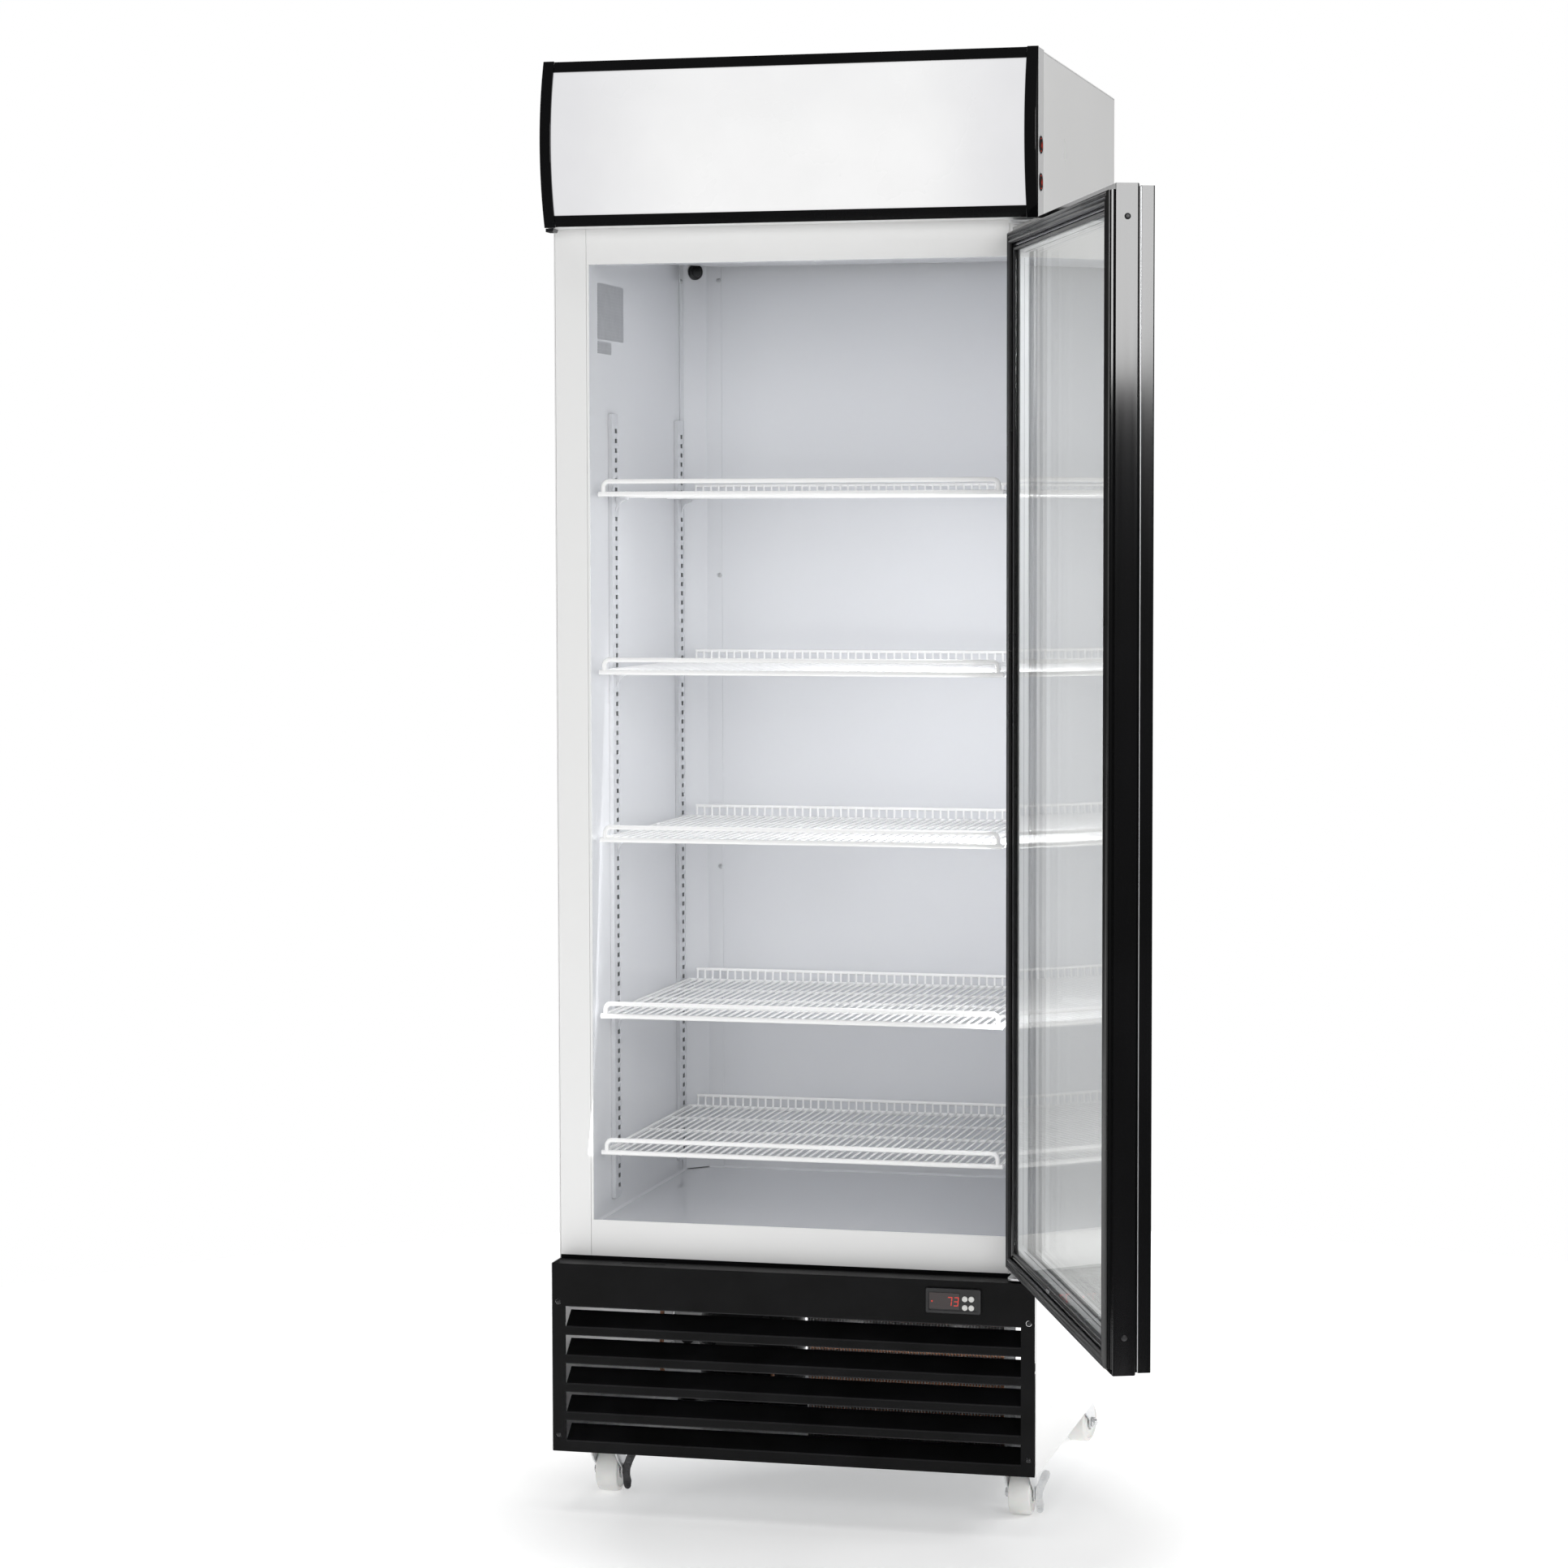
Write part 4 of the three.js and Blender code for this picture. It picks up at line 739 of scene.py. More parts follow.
def rockers():
    """Round rocker switches: black bezel ring, lit red ring, rocking cap with a dished face."""
    face = mm_box("canopy_housing")[1][0]
    out = (1, 0, 0)
    n = 48
    foot_r, top_r, ridge_r = 7.0, 8.0, 7.8
    turns = [FULL_TURN * k / n for k in range(n)]
    for name, z in zip(("upper", "lower"), SWITCH_Z):
        centre = (face, SWITCH_Y, z)
        bezel = Shape().lathe([(9.3, -6), (10.4, -6), (10.4, 0.1), (11.8, 0.1), (11.9, 0.9), (11.3, 1.5),
                               (10.0, 1.5),
                               (9.3, 0.7)], centre, out, n)
        bezel.make(f"rocker_bezel_{name}", BEZEL_BLACK, "black_trim")
        glow = Shape().lathe([(8.9, -4.5), (9.25, -4.5), (9.25, 0.9), (8.9, 0.9)], centre, out, n)
        glow.make(f"rocker_glow_{name}", RED_LENS, "red_rocker")
        foot = [(face - 2.4, SWITCH_Y + foot_r * math.cos(t), z + foot_r * math.sin(t)) for t in turns]
        top = [(face + 0.2 + abs(math.sin(t)) * 1.4, SWITCH_Y + top_r * math.cos(t), z + top_r * math.sin(t))
               for t in turns]
        ridge = [(face + 0.1, SWITCH_Y + ridge_r, z), (face + 0.1, SWITCH_Y - ridge_r, z)]
        faces = [list(range(n))]
        for k, t in enumerate(turns):
            q = (k + 1) % n
            faces.append((k, q, n + q, n + k))
            faces.append((n + k, n + q, 2 * n if math.cos(t + math.pi / n) > 0 else 2 * n + 1))
        faces += [(n + n // 4, 2 * n + 1, 2 * n), (n + 3 * n // 4, 2 * n, 2 * n + 1)]
        cap = Shape().add(foot + top + ridge, faces)
        node = f"rocker_switch_{name}"
        cap.make(f"rocker_cap_{name}", ROCKER_BLACK, "red_rocker", [node], f"rocker_{name}", sharp=25)


# ---------------- door, drawn closed and turned open
def door():
    door_box = {n: mm_box(n, DOOR_TURN) for n in
                ("door_frame", "door_glass_outer", "door_glass_inner", "glass_spacer", "door_gasket",
                 "door_handle")}
    lo, hi = door_box["door_frame"]
    x, z = (lo[0], hi[0]), (lo[2], hi[2])
    front, back = lo[1], hi[1]
    edge_back = back - 5.0
    g0 = door_box["door_glass_outer"][0][1] - 0.3
    g1 = door_box["door_glass_inner"][1][1] + 0.3
    sight = 32.0
    grip = door_box["door_glass_outer"][0][0] - lo[0] - 0.3
    rings = [
        ("door_frame_profile", PROFILE_BLACK, "black_trim", ["door_frame"], 18, [
            (0.0, front + 2.0), (0.6, front + 0.6), (2.0, front), (sight - 4, front),
            (sight - 1.5, front + 0.5),
            (sight, front + 2.5), (sight, g0), (grip, g0), (grip, g1), (sight - 3.5, g1),
            (sight - 3.2, back - 2.6),
            (sight - 4.0, back - 0.8), (sight - 5.2, back), (sight - 7.0, back - 0.5),
            (sight - 7.6, back - 2.4),
            (sight - 8.4, back - 2.4), (sight - 9.0, back - 0.6), (sight - 10.2, back), (8.2, back),
            (7.3, back - 0.5), (7.0, back - 1.4), (7.0, edge_back + 0.4), (6.6, edge_back), (0.5, edge_back),
            (0.0, edge_back - 0.5)]),
        ("glazing_bead_inner", RUBBER, "rubber", [], 40, [
            (sight - 3.1, g1 + 0.1), (sight + 1.6, g1 + 0.1), (sight + 1.8, g1 + 0.9), (sight + 0.8, g1 + 2.2),
            (sight - 1.2, back - 1.2), (sight - 2.4, back - 0.6), (sight - 3.0, back - 1.6)]),
        ("glazing_bead_outer", RUBBER, "rubber", [], 40, [
            (sight + 0.1, g0 - 1.8), (sight + 1.6, g0 - 0.6), (sight + 1.7, g0 + 0.2), (sight - 2.0, g0 + 0.2),
            (sight + 0.1, g0 - 0.4)]),
    ]
    glo, ghi = door_box["door_gasket"]
    y0, y1 = glo[1], ghi[1]
    i0 = glo[0] - lo[0]
    rings.append(("door_gasket_bellows", RUBBER, "rubber", ["door_gasket"], 50, [
        (i0 + d, y) for d, y in (
            (0.6, y0), (0.4, y0 + 1.2), (1.4, y0 + 3.4), (2.8, y1), (4.2, y1 - 0.4), (5.2, y0 + 2.0),
            (5.8, y0 + 1.8),
            (6.8, y0 + 3.5), (8.2, y1 - 0.1), (9.6, y0 + 3.5), (10.6, y0 + 1.8), (11.2, y0 + 2.0),
            (12.4, y0 + 3.7),
            (14.0, y1 - 0.2), (15.6, y0 + 3.2), (16.4, y0 + 1.0), (16.2, y0))]))
    for name, finish, slot, replaced, sharp, profile in rings:
        Shape().ring(profile, x, z).make(name, finish, slot, replaced, sharp=sharp, **ON_DOOR)
    for name in ("outer", "inner"):
        node = f"door_glass_{name}"
        pane = Shape().box(*zip(*door_box[node]))
        pane.make(f"pane_{name}", GLASS, "glass", [node], bevel=0.6, segments=1, **ON_DOOR)

    slo, shi = door_box["glass_spacer"]
    bar_in = slo[0] - lo[0]
    bar_wide, bar_flat, bevelled = 12.0, 10.2, 1.4
    bar = [(0, slo[1]), (0, shi[1]), (bar_flat, shi[1]), (bar_wide, shi[1] - bevelled),
           (bar_wide, slo[1] + bevelled),
           (bar_flat, slo[1])]
    spacer = Shape().ring([(bar_in + d, y) for d, y in bar], x, z)
    spacer.make("spacer_bar", SPACER, "aluminium", ["glass_spacer"], sharp=20, **ON_DOOR)
    # The perforations are dark dots, painted shade standing in for the holes.
    dots = Shape()
    inset = bar_in + bar_wide
    mid = (slo[1] + shi[1]) / 2
    step, end_gap, hole = 2.5, 8, 0.55

    def dot(centre, u, v):
        turns = [math.pi * k / 3 for k in range(6)]
        edge = [Vector(centre) + u * (hole * math.cos(t)) + v * (hole * math.sin(t)) for t in turns]
        dots.loops([[p + u.cross(v) * h for p in edge] for h in (-0.3, 0.06)])

    along_x, along_y, along_z = (Vector(way) for way in ((1, 0, 0), (0, 1, 0), (0, 0, 1)))
    for k in range(int((z[1] - z[0] - 2 * inset - 2 * end_gap) / step) + 1):
        h = z[0] + inset + end_gap + k * step
        dot((x[0] + inset, mid, h), along_y, along_z)
        dot((x[1] - inset, mid, h), along_z, along_y)
    for k in range(int((x[1] - x[0] - 2 * inset - 2 * end_gap) / step) + 1):
        u = x[0] + inset + end_gap + k * step
        dot((u, mid, z[0] + inset), along_x, -along_y)
        dot((u, mid, z[1] - inset), -along_y, along_x)
    dots.make("spacer_perforations", HOLE_SHADE_BLACK, "aluminium", **ON_DOOR)

    hlo, hhi = door_box["door_handle"]
    end, lip = hlo[0], hlo[1]
    strip = [(end, lip + 1.6), (end + 0.5, lip + 0.5), (end + 1.6, lip), (end + 25.0, lip),
             (end + 26.0, lip + 1.0),
             (end + 26.0, lip + 2.4), (end + 25.2, lip + 3.0), (end + 4.0, lip + 3.0), (end + 3.0, lip + 4.0),
             (end + 3.0, -2.5), (end + 4.0, -1.5), (end + 37, -1.5), (end + 37, front - 0.3),
             (end + 4, front - 0.3),
             (end + 4, 2.0), (end + 0.3, 2.0), (end, 1.7)]
    handle = Shape().prism(strip, "z", hlo[2], hhi[2])
    handle.make("pull_strip", PROFILE_BLACK, "black_trim", ["door_handle"], sharp=18, **ON_DOOR)
    inside = (hlo[2] + 1, hhi[2] - 1)
    trim = Shape().box((end + 0.1, end + 3.9), (2.1, 2.9), inside)
    trim.make("handle_gap_strip", GAP_STRIP, "aluminium", **ON_DOOR)
    fill = Shape().box((end + 0.05, end + 3.9), (2.95, front - 0.1), inside)
    fill.make("handle_gap_fill", PROFILE_BLACK, "black_trim", **ON_DOOR)
    screws = Shape()
    for h in (z[0] + 46, z[1] - 39):
        screw(screws, (x[0], (front + edge_back) / 2, h), (-1, 0, 0), 3.8, 1.6)
    screws.make("door_end_screws", BEZEL_BLACK, "black_trim", **ON_DOOR)
    clip = Shape().prism(rounded((40, 56), (z[0] + 26.5, z[0] + 31), 1.8), "y", back - 0.6, back + 0.6)
    clip.make("bead_clip", STEEL_BRIGHT, "zinc", bevel=0.2, **ON_DOOR)


def hinges():
    """Bent plate on the body with a pin that stands in the door, and a collar between them."""
    x, y = HINGE_AT
    corner, tab_thick, engaged = 8, 2.5, 18.3
    for name in ("top", "bottom"):
        node = f"hinge_bracket_{name}"
        lo, hi = mm_box(node)
        face = hi[1]
        if name == "top":
            arm = (hi[2] - 6.0, hi[2] - 2.5)
            tab = (arm[0], hi[2])
            pin = (lo[2], arm[1] - 1)
            collar = (lo[2] + engaged, arm[0])
        else:
            arm = (lo[2], lo[2] + 3.5)
            tab = (lo[2], lo[2] + 13)
            pin = (arm[0] + 1, hi[2])
            collar = (arm[1], hi[2] - engaged)
        plate = Shape()
        outline = [(lo[0], face)] + arc(lo[0] + corner, y - 2, corner, 180, 270, 4)
        outline += arc(hi[0] - corner, y - 2, corner, 270, 360, 4) + [(hi[0], face)]
        plate.prism(outline, "z", *arm)
        plate.box((lo[0], hi[0]), (face - tab_thick, face), tab)
        turned = [[(0, pin[0]), (5, pin[0]), (5, pin[1] - 1), (4.2, pin[1]), (0, pin[1])]]
        if collar[1] > collar[0]:
            turned.append([(5.2, collar[0]), (8, collar[0]), (8, collar[1]), (5.2, collar[1])])
        for profile in turned:
            plate.lathe(profile, (x, y, 0), (0, 0, 1), 24)
        plate.make(f"{node}_plate", ZINC, "zinc", [node], bevel=0.4)


# ---------------- grille and controller
def grille():
    lo, hi = mm_box("front_grille")
    top = hi[2]
    t = 1.5
    count, pitch, first, height, half = 5, 40.4, 293.6, 30.0, 323.5
    c_lo, c_hi = mm_box("controller")
    rim = 3
    us = [lo[0], -half, c_lo[0] + rim, c_hi[0] - rim, half, hi[0]]
    vs = [lo[2]]
    for i in range(count - 1, -1, -1):
        vs += [first - i * pitch - height, first - i * pitch]
    vs += [c_lo[2] + rim, c_hi[2] - rim, top]
    louvre_rows = {2 * k + 1 for k in range(count)}

    def solid(i, j):
        if j in louvre_rows:
            return i in (0, 4)
        return j != 2 * count + 1 or i != 2

    face = Shape().plate(us, vs, solid, lambda u, v, w: (u, lo[1] + t - w, v), t)
    obj = face.make("grille_face", SATIN_BLACK, "black_paint", ["front_grille"])
    corners = [(x, lo[1], z) for x in (-334.5, 334.5) for z in (110, 298.5)]
    holes = Shape()
    screws = Shape()
    for x, y, z in corners:
        holes.lathe([(0, -4), (4.0, -4), (4.0, 4), (0, 4)], (x, y, z), (0, 1, 0), 24)
        screw(screws, (x, y + 1.0, z), (0, -1, 0), 3.6, 1.4)
    punch(obj, holes)
    soften(obj, 0.4, angle=30)
    screws.make("grille_screws", BEZEL_BLACK, "black_trim")
    blades = Shape()
    lips = Shape()
    depth, rise = 25, 20
    y = lo[1]
    for i in range(count):
        z1 = first - i * pitch
        z = z1 - height
        blades.prism([(y + t / 2, z - t), (t + depth, z - t + rise), (t + depth, z + rise),
                      (y + t / 2, z - 0.1)],
                     "x", 0.1 - half, half - 0.1)
        roll = [(y + 0.2, z - 0.4)] + arc(y + 1.6, z - 0.1, 1.5, 180, 20, 5) + [(y + 2.8, z - 0.9)]
        hem = [(y + 0.2, z1 + 0.4), (y + 0.2, z1 - 0.9), (y + 5.0, z1 - 0.9), (y + 5.0, z1 + 0.4)]
        for outline in (roll, hem):
            lips.prism(outline, "x", 0.2 - half, half - 0.2)
    blades.make("louvre_blades", SATIN_BLACK, "black_paint", bevel=0.3)
    # The lips get the lighter black, a painted highlight on the grille's edges.
    lips.make("louvre_lips", LIP_BLACK_PAINTED_HIGHLIGHT, "black_paint", sharp=50)
    flange = Shape().plate([lo[0], -247, -184, hi[0]], [y + t + 0.05, 20, 23, hi[1]],
                           lambda i, j: not (i == 1 and j == 1), lambda u, v, w: (u, v, top - t + w), t)
    flange.make("grille_flange", SATIN_BLACK, "black_paint", bevel=0.2)
    # Black sheet across the gap between the grille top and the sill: painted shade of that gap.
    behind = mm_box("face_frame")[0]
    panel = mm_box("side_panel_left")[1][0] + 0.3
    gap_shade_sheet = Shape().box((panel, -panel), (behind[1] + 0.3, behind[1] + 1.5), (top - t, behind[2] - 0.1))
    gap_shade_sheet.make("grille_gap_painted_shade", SATIN_BLACK, "black_paint", bevel=0.2)


def controller():
    """Bezel, window with two digits and a lamp, shell behind the sheet, four round buttons."""
    lo, hi = mm_box("controller")
    x, z, y = (lo[0], hi[0]), (lo[2], hi[2]), lo[1]
    back = -0.3
    outer = rounded(x, z, 2.2, 5)
    inner = rounded((x[0] + 4.0, x[1] - 4.0), (z[0] + 4.0, z[1] - 4.0), 1.6, 5)
    rims = [(outer, back), (outer, y + 1.1), (shrink(outer, 0.1), y + 0.6), (shrink(outer, 0.5), y), (inner, y),
            (inner, y + 1.3)]
    front = Shape().loops([[(u, d, v) for u, v in rim] for rim, d in rims])
    front.make("controller_bezel", BEZEL_BLACK, "black_trim", sharp=30)
    shell = Shape().prism(rounded((x[0] + 3.3, x[1] - 3.3), (z[0] + 3.3, z[1] - 3.3), 1.0), "y", back + 0.02,
                          hi[1])
    shell.make("controller_shell", BEZEL_BLACK, "black_trim", ["controller"], bevel=0.4)
    screen = Shape().prism(rounded((x[0] + 5.0, x[0] + 47.0), (z[0] + 6.0, z[1] - 6.0), 1.2), "y", y + 0.35,
                           y + 1.25)
    screen.make("controller_window", WINDOW, "black_trim", bevel=0.15)
    h, w, s, lean = 12.5, 6.6, 1.15, 0.12
    base = z[0] + 10.5
    bars = {"a": (0.5, w - 0.5, h - s, h), "g": (0.5, w - 0.5, (h - s) / 2, (h + s) / 2),
            "d": (0.5, w - 0.5, 0, s),
            "b": (w - s, w, h / 2 + 0.4, h - 0.5), "c": (w - s, w, 0.5, h / 2 - 0.4)}
    digits = Shape()
    for k, lit in enumerate(("abc", "abgcd")):
        left = x[0] + 29.5 + k * 9.2
        for key in lit:
            x0, x1, z0, z1 = bars[key]
            corners = [(x0, z0), (x1, z0), (x1, z1), (x0, z1)]
            digits.prism([(left + u + lean * v, base + v) for u, v in corners], "y", y + 0.12, y + 0.33)
    digits.make("controller_digits", RED_GLOW, "red_rocker")
    led = Shape().lathe([(0, 0), (1.1, 0), (1.1, 0.5), (0.7, 0.9), (0, 1.0)],
                        (x[0] + 9.0, y + 0.35, z[0] + 16.5),
                        (0, -1, 0), 16)
    led.make("controller_led", RED_GLOW, "red_rocker")
    for k in range(1, 5):
        node = f"controller_button_{k}"
        b_lo, b_hi = mm_box(node)
        centre = ((b_lo[0] + b_hi[0]) / 2, b_lo[1], (b_lo[2] + b_hi[2]) / 2)
        profile = [(0, 3.1), (3.9, 3.1), (3.9, 0.7), (3.4, 0.15), (2.6, 0.0), (1.2, 0.25), (0, 0.35)]
        cap = Shape().lathe(profile, centre, (0, 1, 0), 32)
        cap.make(f"button_cap_{k}", BUTTON, "white_button", [node], f"button_{k}", sharp=40)


# ---------------- base, machine, evaporator
def chassis():
    lo, hi = mm_box("chassis_base")
    t = 3.0
    z = lo[2] + 4
    tray = Shape().box((lo[0], hi[0]), (lo[1], hi[1]), (z, z + t))
    tray.box((lo[0], hi[0]), (lo[1], lo[1] + 2.5), (z + t, z + 12))
    for x in ((lo[0], lo[0] + 2), (hi[0] - 2, hi[0])):
        tray.box(x, (lo[1] + 2.5, hi[1]), (z + t, z + 30))
    tray.make("chassis_tray", ZINC, "zinc", ["chassis_base"], bevel=0.5)
    half, bolt = 37, 27
    pads = Shape()
    bolts = Shape()
    for x, y in CASTER_AT.values():
        pads.prism(rounded((x - half, x + half), (y - half, y + half), 6), "z", z - 4, z - 0.05)
        for dx in (-bolt, bolt):
            for dy in (-bolt, bolt):
                bolts.lathe([(0, -1), (6.2, -1), (6.2, -3.4), (5.6, -3.9), (0, -3.9)],
                            (x + dx, y + dy, z - 3.2),
                            (0, 0, 1), 6)
    pads.make("caster_plates", ZINC, "zinc", bevel=0.6)
    bolts.make("caster_bolts", STEEL_BRIGHT, "zinc", bevel=0.2)


def compressor():
    """Can on rubber feet with a relay box and its discharge, suction and process tubes."""
    base = mm_box("compressor")[0][2]
    centre = Vector((-150.0, 380.0, base))
    up = (0, 0, 1)
    can = Shape().lathe([(0, 6), (60, 6), (70, 12), (76, 22), (78, 34), (78, 78), (80.5, 79), (80.5, 86),
                         (78, 87),
                         (78, 112), (76, 128), (70, 144), (58, 158), (38, 167), (16, 170), (0, 170.5)],
                         centre, up, 48)
    can.make("compressor_can", CAN_BLACK, "black_paint", ["compressor"])
    cx, cy = centre.x, centre.y
    feet = Shape().prism(rounded((cx - 104, cx + 104), (cy - 59, cy + 59), 14), "z", base, base + 3)
    for dx in (-88, 88):
        for dy in (-44, 44):
            foot = centre + Vector((dx, dy, 0))
            feet.lathe([(0, 3.2), (11, 3.2), (12, 6), (11, 12), (8, 14), (0, 14)], foot, up, 20)
    feet.make("compressor_feet", RUBBER, "black_paint", bevel=0.4)
    box = Shape().prism(rounded((cx - 32, cx + 26), (base + 62, base + 112), 5), "y", cy - 98, cy - 74)
    box.make("compressor_relay_box", BEZEL_BLACK, "black_trim", bevel=1.0)
    routes = [
        (4.0, 10, [(72, -20, 70), (96, -30, 74), (112, -46, 110), (118, -66, 190), (119, -120, 208),
                   (120, -200, 210),
                   (128, -258, 210), (146, -276, 210), (162, -276, 200)]),
        (4.8, 10, [(-60, 46, 84), (-84, 66, 92), (-96, 84, 130), (-98, 92, 200), (-98, 92, 262)]),
        (3.2, 8, [(40, -66, 60), (52, -92, 52), (40, -128, 48), (-10, -150, 44), (-60, -160, 44),
                  (-96, -150, 60),
                  (-104, -130, 120), (-104, -120, 200)]),
    ]
    pipes = Shape()
    for radius, sides, route in routes:
        pipes.tube(spline([centre + Vector(p) for p in route]), radius, sides)
    pipes.make("compressor_pipes", COPPER, "black_paint", sharp=60)


def condenser():
    """Finned coil between end plates, with a shroud, and a fan on a motor with three arms."""
    lo, hi = mm_box("condenser")
    x0, x1 = lo[0], hi[0]
    z0, z1 = lo[2], hi[2]
    y0 = lo[1]
    fins = Shape()
    pitch = 4.4
    for i in range(int((x1 - x0 - 10) / pitch) + 1):
        x = x0 + 4 + i * pitch
        fins.box((x, x + 0.45), (y0, y0 + 44), (z0 + 4, z1 - 4))
    fins.make("condenser_fins", FIN_ALUMINIUM, "aluminium")
    row = 22
    tubes = Shape()
    for i in range(int((z1 - z0 - 26) / row)):
        for y in (y0 + 12, y0 + 32):
            tubes.tube([(x0 + 2, y, z0 + 14 + i * row), (x1 - 3, y, z0 + 14 + i * row)], 4.2, 10)
    tubes.make("condenser_tubes", COPPER, "aluminium", sharp=60)
    plates = Shape()
    for x in ((x0, x0 + 1.5), (x1 - 1.5, x1)):
        plates.box(x, (y0, y0 + 48), (z0, z1))
    plates.make("condenser_end_plates", ZINC, "aluminium", bevel=0.2)
    cx, _, cz = [(a + b) / 2 for a, b in zip(*mm_box("condenser_fan"))]
    hx, hz = (x0 + 1.6, x1 - 1.6), (z0 + 0.5, z1 - 0.5)
    n = 48
    mouth, flare = 92.0, 97.0
    square = []
    for k in range(n):
        dx, dz = math.cos(FULL_TURN * k / n), math.sin(FULL_TURN * k / n)
        reach = [(ends[d > 0] - c) / d for ends, c, d in ((hx, cx, dx), (hz, cz, dz)) if abs(d) > 1e-9]
        square.append((cx + dx * min(reach), cz + dz * min(reach)))
    turned = [(math.cos(FULL_TURN * k / n), math.sin(FULL_TURN * k / n)) for k in range(n)]
    circle, wide = ([(cx + r * a, cz + r * b) for a, b in turned] for r in (mouth, flare))
    y1 = y0 + 49.0
    y2 = y1 + 44.0
    inner = shrink(square, 1.2)
    loops = [(square, y1), (square, y2 - 6), (wide, y2 - 2), (circle, y2 + 6), (circle, y2 + 4.8),
             (wide, y2 - 3.2),
             (inner, y2 - 7.2), (inner, y1)]
    shroud = Shape().loops([[(u, d, v) for u, v in loop] for loop, d in loops], closed=True)
    shroud.make("condenser_shroud", ZINC, "aluminium", sharp=35)
    my = hi[1] - 42
    hub = Vector((cx, my, cz))
    motor = Shape()
    motor.lathe([(0, 0), (22, 0), (28, 3), (30, 8), (30, 32), (28, 38), (20, 41), (0, 41)], hub, (0, 1, 0), 32)
    for k in range(3):
        t = math.radians(90 + 120 * k)
        out = Vector((math.cos(t), 0, math.sin(t)))
        foot = hub + Vector((0, 4, 0)) + out * flare
        motor.tube([hub + Vector((0, 6, 0)) + out * 26, foot, foot + Vector((0, -12, 0))], 3.0, 8)
    motor.make("condenser_fan_motor", CAN_BLACK, "aluminium", ["condenser"], sharp=40)
    fan("condenser_fan", (0, 1, 0), 5, 82.0)


def rear_details():
    """Cord gland and the screws of the rear skin."""
    outer = mm_box("rear_and_top_skin")[1][1] - 10
    gland = Shape().lathe([(5.0, -3), (11, -3), (11, 2.0), (9.6, 2.4), (9.6, 8.4), (8.8, 10.0), (5.6, 10.0),
                           (5.0, 9.2)], (-321, outer, 122), (0, 1, 0), 32)
    gland.make("cord_gland", BEZEL_BLACK, "black_trim")
    fixings = Shape()
    for x in (-318, 318):
        for z in (180, 330, 620, 960, 1300, 1640, 1980):
            screw(fixings, (x, outer, z), (0, 1, 0), 4.0, 1.6)
    fixings.make("rear_skin_screws", STEEL_BRIGHT, "zinc")


def fan(node, axis, blades, radius):
    """Hub with pitched, swept blades, centred on its joint."""
    lo, hi = mm_box(node)
    axis = Vector(axis)
    along = 1 if axis.y else 2
    centre = joint_at(f"{node}_spin")
    centre[along] = (lo[along] + hi[along]) / 2
    u = axis.orthogonal().normalized()
    v = axis.cross(u)
    depth = (hi[along] - lo[along]) / 2 - 0.5
    wheel = Shape()
    wheel.lathe([(0, -depth), (14, -depth), (19, -depth + 3), (19, depth - 3), (17, depth), (6, depth),
                 (5, depth - 3),
                 (0, depth - 3)], centre, axis, 32)
    rings, around = 7, 5
    root, half_thick = 16, 0.55
    for b in range(blades):
        turn = FULL_TURN * b / blades
        middle = []
        for i in range(rings):
            share = i / (rings - 1)
            r = root + (radius - root) * share
            span = 0.42 + 0.28 * math.sin(math.pi * (0.2 + 0.7 * share))
            pitch = (depth - 1.6) * (1.0 - 0.25 * share)
            for j in range(around):
                s = -1 + 2 * j / (around - 1)
                a = turn + span * s + 0.18 * share ** 2
                middle.append(centre + (u * math.cos(a) + v * math.sin(a)) * r + axis * (pitch * s * 0.9))
        n = rings * around
        faces = []
        for i in range(rings - 1):
            for j in range(around - 1):
                q = (i * around + j, (i + 1) * around + j, (i + 1) * around + j + 1, i * around + j + 1)
                faces += [q[::-1], tuple(n + x for x in q)]
        edge = [i * around for i in range(rings)] + [(rings - 1) * around + j for j in range(1, around)]
        edge += [i * around + around - 1 for i in range(rings - 2, -1, -1)] + list(range(around - 2, 0, -1))
        faces += [(n + c, n + a, a, c)[::-1] for a, c in zip(edge, edge[1:] + edge[:1])]
        lift = axis * half_thick
        wheel.add([p + lift for p in middle] + [p - lift for p in middle], faces)
    wheel.make(f"{node}_blades", FIN_ALUMINIUM, "aluminium", [node], node, sharp=40)


